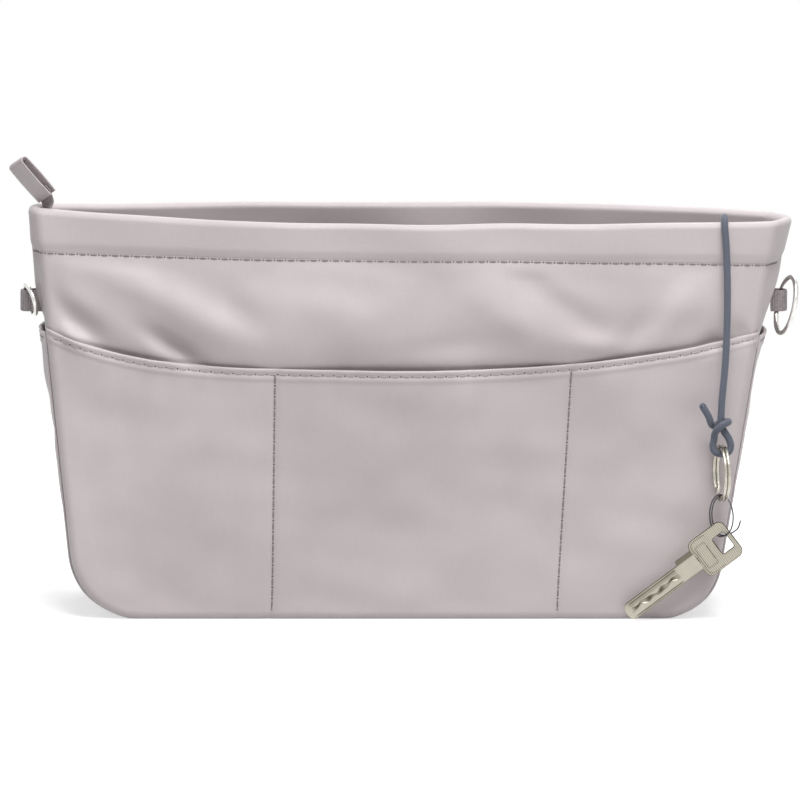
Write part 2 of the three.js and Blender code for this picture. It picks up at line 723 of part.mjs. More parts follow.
function zipTail() {
  const top = HEIGHT + TAB_RISE - GAP;
  const at = (extra) => (column, row) => {
    const y = (0.5 - column) * TAIL_WIDTH;
    const z = HEIGHT - TAIL_DROP + (top - HEIGHT + TAIL_DROP) * row;
    const bend = TAIL_BEND * THREE.MathUtils.smoothstep(z, HEIGHT - TAIL_BEND_DROP, top);
    return [tailX(Math.min(z, HEIGHT), extra, y) + bend, y, z];
  };
  addNode('zip_tail', sheet(TAIL_COLUMNS, TAIL_ROWS, at(0), at(TAIL_CLOTH)), TAPE_GREY);
}

function zipEndTab() {
  const geometry = new THREE.ExtrudeGeometry(hairpin(TAB_START, TAB_LENGTH, TAB_HALF_GAP, TAB_CLOTH), {
    depth: TAB_WIDTH, bevelEnabled: false, curveSegments: LOOP_CURVE_STEPS,
  });
  geometry.translate(0, 0, -TAB_WIDTH / 2);
  geometry.rotateX(Math.PI / 2);
  geometry.rotateY(-Math.PI / 2);
  const group = new THREE.Group();
  group.position.set(tailX(HEIGHT, TAIL_CLOTH / 2, 0) + TAIL_BEND, 0, HEIGHT + TAB_RISE);
  group.rotation.y = -TAB_LEAN;
  insert.add(group);
  const tab = addNode('zip_end_tab', geometry, NYLON, group);
  tab.rotation.z = TAB_TURN;
}

// Leash: anchor on the lining, cord over the rim, knot, loop, tail
const CORD_STEP = 6;
const CORD_EXTRA_STEPS = 2;

function cordTube(name, route) {
  const curve = routeCurve(route);
  const steps = Math.ceil(curve.getLength() / CORD_STEP) + CORD_EXTRA_STEPS;
  addNode(name, tube(curve, CORD / 2, CORD_SIDES, steps), SLATE_CORD);
}

function leashAnchor() {
  const [middle] = CORD_INSIDE[0];
  const at = (extra) => (column, row) => {
    const x = middle + (column - 0.5) * ANCHOR_WIDTH;
    const z = HEIGHT - ANCHOR_BELOW_RIM + (row - 1) * ANCHOR_HEIGHT;
    const left = edgeX(SIDES.left, z, SIDE_STACK + GAP);
    const right = edgeX(SIDES.right, z, SIDE_STACK + GAP);
    const u = (2 * (x - left)) / (right - left) - 1;
    return [x, -(wallHalfDepth(u, z) - LOOSE_DEPTH - GAP - extra), z];
  };
  addNode('leash_anchor', sheet(ANCHOR_STEPS, ANCHOR_STEPS, at(0), at(ANCHOR_OUT)), LINER);
}

function leashKnot() {
  const geometry = new THREE.SphereGeometry(KNOT_RADIUS, KNOT_SIDES, KNOT_ROWS);
  geometry.rotateX(Math.PI / 2);
  geometry.scale(1, 1, KNOT_HALF_HEIGHT / KNOT_RADIUS);
  const knot = addNode('leash_knot', geometry, SLATE_CORD);
  knot.position.set(...KNOT_CENTRE);
}

// Split ring: one wire, nearly two turns side by side, stepping over where only one turn runs
class SplitRingCurve extends THREE.Curve {
  getPoint(share, target = new THREE.Vector3()) {
    const turns = SPLIT_TURNS * share;
    const angle = 2 * Math.PI * turns;
    const crossing = THREE.MathUtils.smoothstep(turns, SPLIT_TURNS - 1, 1);
    const x = SPLIT_SPACING * (crossing - 0.5);
    return target.set(x, SPLIT_RADIUS * Math.cos(angle), SPLIT_RADIUS * Math.sin(angle));
  }
}

function leastSelfGap(curve, wire, samples) {
  const points = curve.getPoints(samples);
  const apart = Math.ceil(samples / (2 * SPLIT_TURNS));
  let least = Infinity;
  points.forEach((point, index) => {
    points.slice(index + apart).forEach((other) => {
      least = Math.min(least, point.distanceTo(other));
    });
  });
  return least - 2 * wire;
}

const SPLIT_SAMPLES = 400;
const SPLIT_SIDES = 6;

function splitRing() {
  const curve = new SplitRingCurve();
  const steps = Math.round(RING_STEPS * SPLIT_TURNS);
  const sections = curve.getPoints(steps).map((point) => {
    const outward = new THREE.Vector3(0, point.y, point.z).normalize();
    return Array.from({ length: SPLIT_SIDES }, (_, side) => {
      const angle = (2 * Math.PI * side) / SPLIT_SIDES;
      return point.clone()
        .addScaledVector(outward, SPLIT_WIRE * Math.cos(angle))
        .add(new THREE.Vector3(-SPLIT_WIRE * Math.sin(angle), 0, 0))
        .toArray();
    });
  });
  const triangles = [];
  for (let station = 0; station < steps; station += 1) {
    for (let side = 0; side < SPLIT_SIDES; side += 1) {
      const other = (side + 1) % SPLIT_SIDES;
      const here = station * SPLIT_SIDES;
      const next = here + SPLIT_SIDES;
      triangles.push([here + side, next + other, next + side], [here + side, here + other, next + other]);
    }
  }
  for (let side = 1; side < SPLIT_SIDES - 1; side += 1) {
    const last = steps * SPLIT_SIDES;
    triangles.push([0, side + 1, side], [last, last + side, last + side + 1]);
  }
  const ring = addNode('key_split_ring', indexed(sections.flat(), triangles), WARM_NICKEL);
  ring.position.set(...SPLIT_CENTRE);
  ring.rotation.z = SPLIT_TURN;
  const gap = leastSelfGap(curve, SPLIT_WIRE, SPLIT_SAMPLES);
  console.log(`key_split_ring least gap to itself ${gap.toFixed(2)} mm`);
}

function wireRing() {
  const [x, y, z] = SPLIT_CENTRE;
  const top = z - SPLIT_RADIUS + WIRE_RING_RISE;
  const half = (top - WIRE_RING_FOOT) / 2;
  const points = Array.from({ length: RING_STEPS }, (_, step) => {
    const angle = (2 * Math.PI * step) / RING_STEPS;
    return new THREE.Vector3(WIRE_RING_HALF_WIDTH * Math.cos(angle), 0, half * Math.sin(angle));
  });
  const geometry = wireLoop(points, WIRE_RING_WIRE, SPLIT_SIDES, [0, -1, 0]);
  const ring = addNode('key_wire_ring', geometry, DARK_WIRE);
  ring.position.set(x, y, top - half);
  ring.rotation.z = -WIRE_RING_TURN;
}

function roundedBox(path, left, right, low, high, round) {
  path.moveTo(left + round, low);
  path.lineTo(right - round, low);
  path.absarc(right - round, low + round, round, -Math.PI / 2, 0, false);
  path.lineTo(right, high - round);
  path.absarc(right - round, high - round, round, 0, Math.PI / 2, false);
  path.lineTo(left + round, high);
  path.absarc(left + round, high - round, round, Math.PI / 2, Math.PI, false);
  path.lineTo(left, low + round);
  path.absarc(left + round, low + round, round, Math.PI, 1.5 * Math.PI, false);
}

function key() {
  const headHalf = KEY_HEAD_LENGTH / 2;
  const bladeHalf = KEY_BLADE_WIDTH / 2;
  const tip = headHalf + KEY_BLADE_LENGTH;
  const head = new THREE.Shape();
  roundedBox(head, -headHalf, headHalf, -KEY_HEAD_WIDTH / 2, KEY_HEAD_WIDTH / 2, KEY_HEAD_ROUND);
  const hole = new THREE.Path([
    [-KEY_HOLE_LENGTH / 2, -KEY_HOLE_WIDTH / 2], [-KEY_HOLE_LENGTH / 2, KEY_HOLE_WIDTH / 2],
    [KEY_HOLE_LENGTH / 2, KEY_HOLE_WIDTH / 2], [KEY_HOLE_LENGTH / 2, -KEY_HOLE_WIDTH / 2],
  ].map(([u, v]) => new THREE.Vector2(u - KEY_HOLE_BACK, v)));
  head.holes.push(hole);
  const blade = new THREE.Shape([
    [0, -bladeHalf], [tip - KEY_TIP, -bladeHalf], [tip, -bladeHalf + KEY_TIP],
    [tip, bladeHalf - KEY_TIP], [tip - KEY_TIP, bladeHalf], [0, bladeHalf],
  ].map(([u, v]) => new THREE.Vector2(u, v)));
  const settings = { depth: KEY_THICK, bevelEnabled: false, curveSegments: LOOP_CURVE_STEPS };
  const groove = new THREE.BoxGeometry(KEY_BLADE_LENGTH - KEY_GROOVE_END, KEY_GROOVE_WIDTH, KEY_GROOVE * 2);
  const middle = headHalf + (KEY_BLADE_LENGTH - KEY_GROOVE_END) / 2;
  const front = groove.clone().translate(middle, 0, KEY_THICK);
  const back = groove.clone().translate(middle, 0, 0);
  const solid = toSolid(new THREE.ExtrudeGeometry(head, settings))
    .add(toSolid(new THREE.ExtrudeGeometry(blade, settings)))
    .subtract(toSolid(front))
    .subtract(toSolid(back));
  const geometry = fromSolid(solid);
  const hangU = -KEY_HOLE_BACK - KEY_HANG_BACK;
  const hangV = -KEY_HOLE_WIDTH / 2 + KEY_HANG;
  geometry.translate(-hangU, -hangV, -KEY_THICK / 2);
  geometry.rotateX(Math.PI / 2);
  const mesh = addNode('key', geometry, WARM_NICKEL);
  mesh.position.set(SPLIT_CENTRE[0], SPLIT_CENTRE[1], WIRE_RING_FOOT);
  mesh.rotation.y = Math.PI - KEY_LEAN;
}

wallLayers('front', -1);
wallLayers('back', 1);
wallPockets('front', -1);
wallPockets('back', 1);
gussetLayers();
sidePocket('left_side_pocket', SIDES.left);
sidePocket('right_side_pocket', SIDES.right);
baseBoard();
rimBand();
strapLoop('left_strap_loop', SIDES.left, LEFT_LOOP_REACH);
strapLoop('right_strap_loop', SIDES.right, RIGHT_LOOP_REACH);
leftRing();
rightRing();
zipSide('front', -1);
zipSide('back', 1);
zipSlider();
zipPull();
zipTail();
zipEndTab();
leashAnchor();
cordTube('leash_cord_inside', CORD_INSIDE);
cordTube('leash_cord', CORD_OUTSIDE);
leashKnot();
cordTube('leash_loop', CORD_LOOP);
cordTube('leash_tail', CORD_TAIL);
splitRing();
wireRing();
key();

export default insert;
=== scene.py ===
"""Purse organizer insert, dressed for a white studio.

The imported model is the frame. Every surface is worked out in its metres as a function of two parameters,
and rides on the body of the piece that it stands for.
"""
import logging
import math
from collections.abc import Sequence
from dataclasses import dataclass, field
from enum import Enum, IntEnum

import bmesh
import bpy
import numpy as np
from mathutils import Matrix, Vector


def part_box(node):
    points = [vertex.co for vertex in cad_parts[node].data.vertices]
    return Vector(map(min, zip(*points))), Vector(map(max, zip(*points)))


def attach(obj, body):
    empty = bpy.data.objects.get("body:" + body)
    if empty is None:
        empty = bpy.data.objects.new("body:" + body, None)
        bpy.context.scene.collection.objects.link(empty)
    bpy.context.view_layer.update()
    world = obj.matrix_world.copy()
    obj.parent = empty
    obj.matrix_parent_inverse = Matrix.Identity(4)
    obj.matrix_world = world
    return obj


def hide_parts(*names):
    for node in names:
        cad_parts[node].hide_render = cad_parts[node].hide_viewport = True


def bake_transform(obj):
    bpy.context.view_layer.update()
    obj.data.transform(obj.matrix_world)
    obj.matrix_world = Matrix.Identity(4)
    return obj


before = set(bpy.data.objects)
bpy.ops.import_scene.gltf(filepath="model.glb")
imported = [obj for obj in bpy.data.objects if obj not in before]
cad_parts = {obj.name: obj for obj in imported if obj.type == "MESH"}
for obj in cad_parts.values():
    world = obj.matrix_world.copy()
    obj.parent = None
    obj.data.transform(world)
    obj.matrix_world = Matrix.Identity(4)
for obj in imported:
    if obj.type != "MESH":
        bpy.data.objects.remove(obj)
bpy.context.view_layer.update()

LOG = logging.getLogger("insert")
Array = np.ndarray
Piece = bpy.types.Object
Socket = bpy.types.NodeSocket
Material = bpy.types.Material
Pair = tuple[float, float]
Triple = tuple[float, float, float]
Colour = tuple[float, float, float, float]

MM = 0.001
MERGE = 1e-7
WAVES = 14
SHARP_ANGLE = math.radians(50)
WHITE = (1.0, 1.0, 1.0, 1.0)


class Face(Enum):
    """The two large walls of the bag, by the sign of their Y."""

    FRONT = -1
    BACK = 1


class Seed(IntEnum):
    """Seeds of the soft noise, one for each surface that has its own."""

    FRONT_POCKET = 5
    BACK_POCKET = 7
    FRONT_WALL = 11
    BACK_WALL = 23
    SLIP_POCKET = 31
    STRIP = 41
    SIDE_POCKET = 53
    RIM = 61


def tone(red: int, green: int, blue: int) -> Colour:
    """Linear colour, with an alpha of 1, of an 8-bit screen colour."""
    share = np.array([red, green, blue]) / 255
    return (*np.where(share <= 0.04045, share / 12.92, ((share + 0.055) / 1.055) ** 2.4).tolist(), 1.0)


def ease(low: float, high: float, value: Array) -> Array:
    """Smooth step: 0 below low, 1 above high, and 3t^2 - 2t^3 between them."""
    share = np.clip((value - low) / (high - low), 0, 1)
    return share * share * (3 - 2 * share)


def soft_noise(p: Array, q: Array, wave: float, seed: int) -> Array:
    """Smooth noise: the mean of some plane waves of about one wavelength, in seeded directions and phases.

    Args:
        p: First coordinate, in metres.
        q: Second coordinate, in metres.
        wave: Typical wavelength, in metres.
        seed: Seed of the draw.

    Returns:
        Values of about -1 to 1, in the shape of p and q.
    """
    draw = np.random.default_rng(seed)
    angle = draw.uniform(0, 2 * np.pi, WAVES)
    number = 2 * np.pi / (wave * draw.uniform(0.7, 1.6, WAVES))
    phase = draw.uniform(0, 2 * np.pi, WAVES)
    p, q = np.broadcast_arrays(p, q)
    total = np.zeros(p.shape)
    for turn, rate, start in zip(angle, number, phase):
        total += np.cos(rate * (np.cos(turn) * p + np.sin(turn) * q) + start)
    return total * math.sqrt(2 / WAVES)


def crowded(
    low: float, high: float, count: int, marks: Sequence[float], width: float, weight: float
) -> Array:
    """Points from low to high that crowd near some marks: equal steps of the running sum of a density.

    Args:
        low: First point.
        high: Last point.
        count: Number of points.
        marks: Where the points crowd.
        width: How far a mark's crowding reaches.
        weight: Density added at a mark, against 1 elsewhere.

    Returns:
        The points, in rising order.
    """
    fine = np.linspace(low, high, 4000)
    density = np.ones_like(fine)
    for mark in marks:
        density += weight * bell(fine - mark, width)
    total = np.concatenate([[0], np.cumsum((density[1:] + density[:-1]) / 2)])
    return np.interp(np.linspace(0, total[-1], count), total, fine)


def bell(value: Array, width: float | Array, power: int = 2) -> Array:
    """A smooth bump of 1 at 0: exp(-(value / width)^power)."""
    return np.exp(-((value / width) ** power))


def signed_power(value: Array, power: float) -> Array:
    """The size of a value to a power, with the value's sign."""
    return np.sign(value) * np.abs(value) ** power


def full_turn(count: int) -> Array:
    """Angles once round, without the last one."""
    return np.linspace(0, 2 * np.pi, count, endpoint=False)


def grid(*parts: Array) -> Array:
    """Coordinates that are broadcast together and stacked in a last axis."""
    return np.stack(np.broadcast_arrays(*parts), -1)


def run_along(path: Array) -> Array:
    """Length run at each point of a path, from 0."""
    return np.concatenate([[0], np.cumsum(np.linalg.norm(np.diff(path, axis=0), axis=1))])


def sample(places: Array, along: Array, values: Array) -> Array:
    """Rows of values between those given, at places along them."""
    return np.stack([np.interp(places, along, column) for column in values.T], -1)


def box_middle(node: str) -> tuple[Array, Array]:
    """Middle and half size of a node's box."""
    low, high = (np.array(corner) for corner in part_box(node))
    return (low + high) / 2, (high - low) / 2


def unit(vectors: Array) -> Array:
    """The vectors at length 1."""
    return vectors / np.maximum(np.linalg.norm(vectors, axis=-1, keepdims=True), 1e-12)


def grid_quads(rows: int, columns: int, wrap_rows: bool = False, wrap_columns: bool = False) -> Array:
    """Quads of a grid of points that is numbered row by row.

    Args:
        rows: Number of rows.
        columns: Number of columns.
        wrap_rows: Joins the last row to the first.
        wrap_columns: Joins the last column to the first.

    Returns:
        Point numbers, four for each quad.
    """
    row = np.arange(rows if wrap_rows else rows - 1)
    column = np.arange(columns if wrap_columns else columns - 1)
    r, c = np.meshgrid(row, column, indexing="ij")
    above, beside = (r + 1) % rows, (c + 1) % columns
    corners = [r * columns + c, r * columns + beside, above * columns + beside, above * columns + c]
    return np.stack(corners, -1).reshape(-1, 4)


def border(rows: int, columns: int) -> Array:
    """Numbers of a grid's border points, once round."""
    index = np.arange(rows * columns).reshape(rows, columns)
    return np.concatenate([index[0, :-1], index[:-1, -1], index[-1, :0:-1], index[:0:-1, 0]])


def grid_normals(points: Array, inside: Array) -> Array:
    """Unit normals of a grid, the cross product of its two gradients, turned away from a point inside."""
    normal = unit(np.cross(np.gradient(points, axis=1), np.gradient(points, axis=0)))
    return normal if np.sum(normal * (points - inside)) >= 0 else -normal


def signed_volume(points: Array, quads: Array) -> float:
    """Volume inside closed quads, negative where they face inwards."""
    a, b, c, d = (points[quads[:, corner]] for corner in range(4))
    return float(np.sum(a * np.cross(b, c)) + np.sum(a * np.cross(c, d))) / 6


def put_object(name: str, data: bpy.types.ID) -> Piece:
    """A new object for some data, linked to the scene."""
    piece = bpy.data.objects.new(name, data)
    bpy.context.collection.objects.link(piece)
    return piece


def put_piece(name: str, points: Array, quads: Array, uv: Array) -> Piece:
    """A closed mesh object at the origin, faces outwards, doubles merged.

    Args:
        name: Name of the piece.
        points: Points, count by 3, in metres.
        quads: Point numbers, four for each face; a pole's points lie on each other.
        uv: Pattern coordinates of each point, in metres along the cloth.

    Returns:
        The new object.
    """
    if signed_volume(points, quads) < 0:
        quads = quads[:, ::-1]
    mesh = bpy.data.meshes.new(name)
    mesh.from_pydata(points.tolist(), [], quads.tolist())
    layer = mesh.uv_layers.new(name="cloth")
    layer.data.foreach_set("uv", uv[quads.ravel()].astype(np.float32).ravel())
    work = bmesh.new()
    work.from_mesh(mesh)
    bmesh.ops.remove_doubles(work, verts=work.verts, dist=MERGE)
    bmesh.ops.dissolve_degenerate(work, edges=work.edges, dist=MERGE)
    work.to_mesh(mesh)
    work.free()
    mesh.shade_smooth()
    mesh.set_sharp_from_angle(angle=SHARP_ANGLE)
    return put_object(name, mesh)


def put_sheet(name: str, outer: Array, inner: Array, uv: Array) -> Piece:
    """A closed sheet between two grids, joined round their borders.

    Args:
        name: Name of the piece.
        outer: Grid of its outer face, rows by columns by 3.
        inner: Grid of its inner face, in the same shape.
        uv: Pattern coordinates of the grid, rows by columns by 2.

    Returns:
        The new object.
    """
    rows, columns, _ = outer.shape
    far = rows * columns
    quads = grid_quads(rows, columns)
    edge = border(rows, columns)
    after = np.roll(edge, -1)
    rim = np.stack([edge, edge + far, after + far, after], -1)
    points = np.concatenate([outer.reshape(-1, 3), inner.reshape(-1, 3)])
    both = np.concatenate([uv.reshape(-1, 2)] * 2)
    return put_piece(name, points, np.concatenate([quads, quads[:, ::-1] + far, rim]), both)


def put_ring(name: str, points: Array, uv: Array, wrap_rows: bool = True) -> Piece:
    """A profile carried along a path: rows along it, closed or ending in points, columns round it."""
    quads = grid_quads(*points.shape[:2], wrap_rows, True)
    return put_piece(name, points.reshape(-1, 3), quads, uv.reshape(-1, 2))


def smooth_path(route: Array, count: int, closed: bool = False) -> Array:
    """Centripetal Catmull-Rom curve through route points, resampled at equal steps.

    Args:
        route: Points, count by 3.
        count: Number of points that come back.
        closed: The curve returns to its start.

    Returns:
        Points along the curve, count by 3; a closed curve doesn't repeat its first point.
    """
    route = np.asarray(route, float)
    if closed:
        ring = np.concatenate([route[-1:], route, route[:2]])
    else:
        ring = np.concatenate([2 * route[:1] - route[1:2], route, 2 * route[-1:] - route[-2:-1]])
    knots = np.concatenate([[0], np.cumsum(np.sqrt(np.linalg.norm(np.diff(ring, axis=0), axis=1)))])
    share = np.linspace(0, 1, 24, endpoint=False)[:, None]
    stretches = []
    for start in range(len(ring) - 3):
        p0, p1, p2, p3 = ring[start:start + 4]
        t0, t1, t2, t3 = knots[start:start + 4]
        t = t1 + (t2 - t1) * share
        a1 = p0 + (p1 - p0) * (t - t0) / (t1 - t0)
        a2 = p1 + (p2 - p1) * (t - t1) / (t2 - t1)
        a3 = p2 + (p3 - p2) * (t - t2) / (t3 - t2)
        b1 = a1 + (a2 - a1) * (t - t0) / (t2 - t0)
        b2 = a2 + (a3 - a2) * (t - t1) / (t3 - t1)
        stretches.append(b1 + (b2 - b1) * (t - t1) / (t2 - t1))
    fine = np.concatenate([*stretches, route[:1] if closed else route[-1:]])
    along = run_along(fine)
    places = np.linspace(0, along[-1], count, endpoint=not closed)
    return sample(places, along, fine)


def path_frames(path: Array, closed: bool = False) -> tuple[Array, Array, Array]:
    """Tangents of a path, and two normals that turn with it as little as they can.

    Args:
        path: Points, count by 3.
        closed: The path returns to its start; the twist left over is then spread along it.

    Returns:
        Tangents, first normals and second normals, each count by 3.
    """
    if closed:
        tangent = unit(np.roll(path, -1, axis=0) - np.roll(path, 1, axis=0))
    else:
        tangent = unit(np.gradient(path, axis=0))
    across = np.eye(3)[np.argmin(np.abs(tangent[0]))]
    first = np.empty_like(path)
    for step, along in enumerate(tangent):
        across = unit(across - along * (across @ along))
        first[step] = across
    if closed:
        last = unit(first[-1] - tangent[0] * (first[-1] @ tangent[0]))
        twist = math.atan2(float(np.cross(last, first[0]) @ tangent[0]), float(last @ first[0]))
        angle = (twist * np.arange(len(path)) / len(path))[:, None]
        first = first * np.cos(angle) + np.cross(tangent, first) * np.sin(angle)
    return tangent, first, np.cross(tangent, first)


def put_tube(name: str, path: Array, radius: float | Array, sides: int, closed: bool = False) -> Piece:
    """A round tube along a path, with domed ends where it is open.

    Args:
        name: Name of the piece.
        path: Points of its centreline, count by 3.
        radius: Its radius, or one radius for each point.
        sides: Number of sides of the section.
        closed: The path returns to its start.

    Returns:
        The new object.
    """
    tangent, first, second = path_frames(path, closed)
    radius = np.broadcast_to(radius, len(path)).astype(float)
    along = run_along(path)
    if not closed:
        dome = np.linspace(0, np.pi / 2, 5)[1:]
        back, shrink = np.sin(dome), np.cos(dome)
        shrink[-1] = 0
        head = path[0] - tangent[0] * (radius[0] * back[::-1])[:, None]
        foot = path[-1] + tangent[-1] * (radius[-1] * back)[:, None]
        repeat = np.ones(len(path), int)
        repeat[[0, -1]] += len(dome)
        first, second = np.repeat(first, repeat, axis=0), np.repeat(second, repeat, axis=0)
        radius = np.concatenate([radius[0] * shrink[::-1], radius, radius[-1] * shrink])
        along = np.concatenate([np.full(len(dome), along[0]), along, np.full(len(dome), along[-1])])
        path = np.concatenate([head, path, foot])
    angle = full_turn(sides)
    spoke = first[:, None] * np.cos(angle)[None, :, None] + second[:, None] * np.sin(angle)[None, :, None]
    points = path[:, None] + spoke * radius[:, None, None]
    round_share, run = np.broadcast_arrays(angle[None, :] / (2 * np.pi), along[:, None])
    return put_ring(name, points, np.stack([round_share, run], -1), closed)


def join_pieces(name: str, parts: list[Piece]) -> Piece:
    """One object with the meshes of several, which are then removed.

    Args:
        name: Name of the joined piece.
        parts: Objects at the origin.

    Returns:
        The joined object.
    """
    work = bmesh.new()
    for part in parts:
        work.from_mesh(part.data)
        bpy.data.objects.remove(part)
    mesh = bpy.data.meshes.new(name)
    work.to_mesh(mesh)
    work.free()
    return put_object(name, mesh)


class Tree:
    """A node tree, with short calls that add and join its nodes."""

    def __init__(self, tree: bpy.types.NodeTree) -> None:
        """Takes up a tree."""
        self.nodes, self.links = tree.nodes, tree.links

    def feed(self, socket: Socket, value: object) -> None:
        """Links a socket to another, or sets its value."""
        if isinstance(value, Socket):
            self.links.new(value, socket)
        else:
            socket.default_value = value

    def add(
        self, kind: str, inputs: dict[str | int, object] | None = None, **settings: object
    ) -> bpy.types.Node:
        """Adds a node.

        Args:
            kind: Blender's name of the node type.
            inputs: Values or sockets for its inputs, by name or number.
            settings: Properties of the node itself.

        Returns:
            The node.
        """
        node = self.nodes.new(kind)
        for key, value in settings.items():
            setattr(node, key, value)
        for key, value in (inputs or {}).items():
            self.feed(node.inputs[key], value)
        return node

    def math(self, operation: str, first: object, second: object = 0.0, third: object = 0.0) -> Socket:
        """Output of a Math node."""
        inputs = {0: first, 1: second, 2: third}
        return self.add("ShaderNodeMath", inputs, operation=operation).outputs[0]


class Shader(Tree):
    """One material's nodes, round a Principled surface."""

    def __init__(self, name: str) -> None:
        """Starts a material of some name."""
        self.material = bpy.data.materials.new(name)
        self.material.use_nodes = True
        super().__init__(self.material.node_tree)

    def cloth_uv(self, across: float, along: float) -> Socket:
        """The piece's own pattern coordinates, scaled by two numbers for each metre."""
        place = self.add("ShaderNodeUVMap", uv_map="cloth").outputs[0]
        return self.add("ShaderNodeMapping", {"Vector": place, "Scale": (across, along, 1)}).outputs[0]

    def object_place(self, scale: Triple) -> Socket:
        """Object coordinates, scaled along each axis."""
        place = self.add("ShaderNodeTexCoord").outputs["Object"]
        return self.add("ShaderNodeMapping", {"Vector": place, "Scale": scale}).outputs[0]

    def noise(self, place: Socket, scale: float, detail: float) -> Socket:
        """Factor of a Noise texture, about 0.3 to 0.7."""
        inputs = {"Vector": place, "Scale": scale, "Detail": detail}
        return self.add("ShaderNodeTexNoise", inputs).outputs[0]

    def grain(self, scale: float, detail: float) -> Socket:
        """Factor of a Noise texture on plain Object coordinates."""
        return self.noise(self.object_place((1, 1, 1)), scale, detail)

    def pattern(self) -> tuple[Socket, Socket]:
        """U and V of the piece's own pattern coordinates, in metres."""
        place = self.add("ShaderNodeSeparateXYZ", {0: self.cloth_uv(1, 1)})
        return place.outputs[0], place.outputs[1]

    def wave(self, place: Socket, length: float) -> Socket:
        """Sine of a place, which repeats with a length."""
        return self.math("SINE", self.math("MULTIPLY", place, 2 * math.pi / length))

    def between(self, factor: Socket, low: float, high: float, first: object, last: object) -> Socket:
        """A factor mapped from low..high to two numbers."""
        inputs = {"Value": factor, "From Min": low, "From Max": high, "To Min": first, "To Max": last}
        return self.add("ShaderNodeMapRange", inputs).outputs[0]

    def ramp(self, factor: Socket, low: float, high: float, first: Colour, last: Colour) -> Socket:
        """A colour that goes from one to another as a factor goes from low to high."""
        inputs = {0: self.between(factor, low, high, 0.0, 1.0), 6: first, 7: last}
        return self.add("ShaderNodeMix", inputs, data_type="RGBA").outputs[2]

    def bump(self, height: Socket, depth: float, strength: float, under: object = None) -> Socket:
        """Normal of a Bump node, depth in metres."""
        inputs = {"Height": height, "Distance": depth, "Strength": strength}
        if under is not None:
            inputs["Normal"] = under
        return self.add("ShaderNodeBump", inputs).outputs[0]

    def finish(self, **inputs: object) -> Material:
        """Feeds the Principled surface, by input names with _ for spaces, and gives the material."""
        for key, value in inputs.items():
            self.feed(self.nodes["Principled BSDF"].inputs[key.replace("_", " ")], value)
        return self.material


@dataclass(frozen=True)
class ClothFinish:
    """Woven cloth: slub streaks along both threads, a soft crumple, and a mild patchiness of tone."""

    name: str
    light: Colour
    dark: Colour
    roughness: float = 0.46
    sheen: float = 0.25
    specular: float = 0.4
    thread: float = 0.32 * MM
    slub: float = 7 * MM
    weave_depth: float = 0.018 * MM
    crumple: float = 0.25 * MM
    crumple_size: float = 9 * MM

    def material(self) -> Material:
        """Builds the material."""
        shader = Shader(self.name)
        weft = shader.noise(shader.cloth_uv(1 / self.slub, 1 / self.thread), 1, 2)
        warp = shader.noise(shader.cloth_uv(1 / self.thread, 1 / self.slub), 1, 2)
        weave = shader.math("ADD", weft, warp)
        patch = shader.grain(14, 3)
        mood = shader.math("MULTIPLY_ADD", weave, 0.16, shader.math("MULTIPLY", patch, 0.6))
        colour = shader.ramp(mood, 0.32, 0.6, self.dark, self.light)
        soft = shader.grain(1 / self.crumple_size, 2)
        rumple = shader.bump(soft, self.crumple, 0.6)
        normal = shader.bump(weave, self.weave_depth, 0.5, rumple)
        rough = shader.between(weave, 0.7, 1.3, self.roughness + 0.05, self.roughness - 0.05)
        shader.finish(Base_Color=colour, Roughness=rough, Normal=normal, Sheen_Weight=self.sheen)
        return shader.finish(Sheen_Roughness=0.4, Specular_IOR_Level=self.specular)


@dataclass(frozen=True)
class WebbingFinish:
    """Close ribbed webbing: ribs along the strip, crossed by finer picks, with the troughs of both painted
    darker as shade.
    """

    name: str
    light: Colour
    dark: Colour
    rib: float = 1.1 * MM
    pick: float = 0.5 * MM

    def material(self) -> Material:
        """Builds the material: height is sin of the rib phase plus half the sin of the pick phase."""
        shader = Shader(self.name)
        across, along = shader.pattern()
        picks, ribs = shader.wave(across, self.pick), shader.wave(along, self.rib)
        height = shader.math("MULTIPLY_ADD", picks, 0.5, ribs)
        grain = shader.grain(900, 2)
        # Painted shade: the colour follows the height of ribs and picks, darker in their troughs, over a
        # random grain.
        mixed = shader.math("MULTIPLY_ADD", grain, 1.6, shader.math("MULTIPLY", height, 0.25))
        colour = shader.ramp(mixed, 0.3, 1.3, self.dark, self.light)
        shader.finish(Base_Color=colour, Roughness=0.72, Normal=shader.bump(height, 0.08 * MM, 0.8))
        return shader.finish(Sheen_Weight=0.2, Specular_IOR_Level=0.3)


@dataclass(frozen=True)
class MetalFinish:
    """Plated metal with fine hairlines along its own X, a patchy tone between a duller colour and worn
    bright spots.
    """

    name: str
    bright: Colour
    dull: Colour
    roughness: float = 0.16
    line_scale: Triple = (60.0, 900.0, 900.0)
    line_depth: float = 0.01 * MM

    def material(self) -> Material:
        """Builds the material."""
        shader = Shader(self.name)
        lines = shader.noise(shader.object_place(self.line_scale), 1, 2)
        cloud = shader.grain(90, 3)
        colour = shader.ramp(cloud, 0.35, 0.65, self.dull, self.bright)
        grime = shader.math("MULTIPLY_ADD", lines, 0.5, shader.math("MULTIPLY", cloud, 0.5))
        rough = shader.between(grime, 0.35, 0.65, self.roughness * 0.7, self.roughness * 1.5)
        normal = shader.bump(lines, self.line_depth, 0.35)
        return shader.finish(Base_Color=colour, Metallic=1.0, Roughness=rough, Normal=normal)


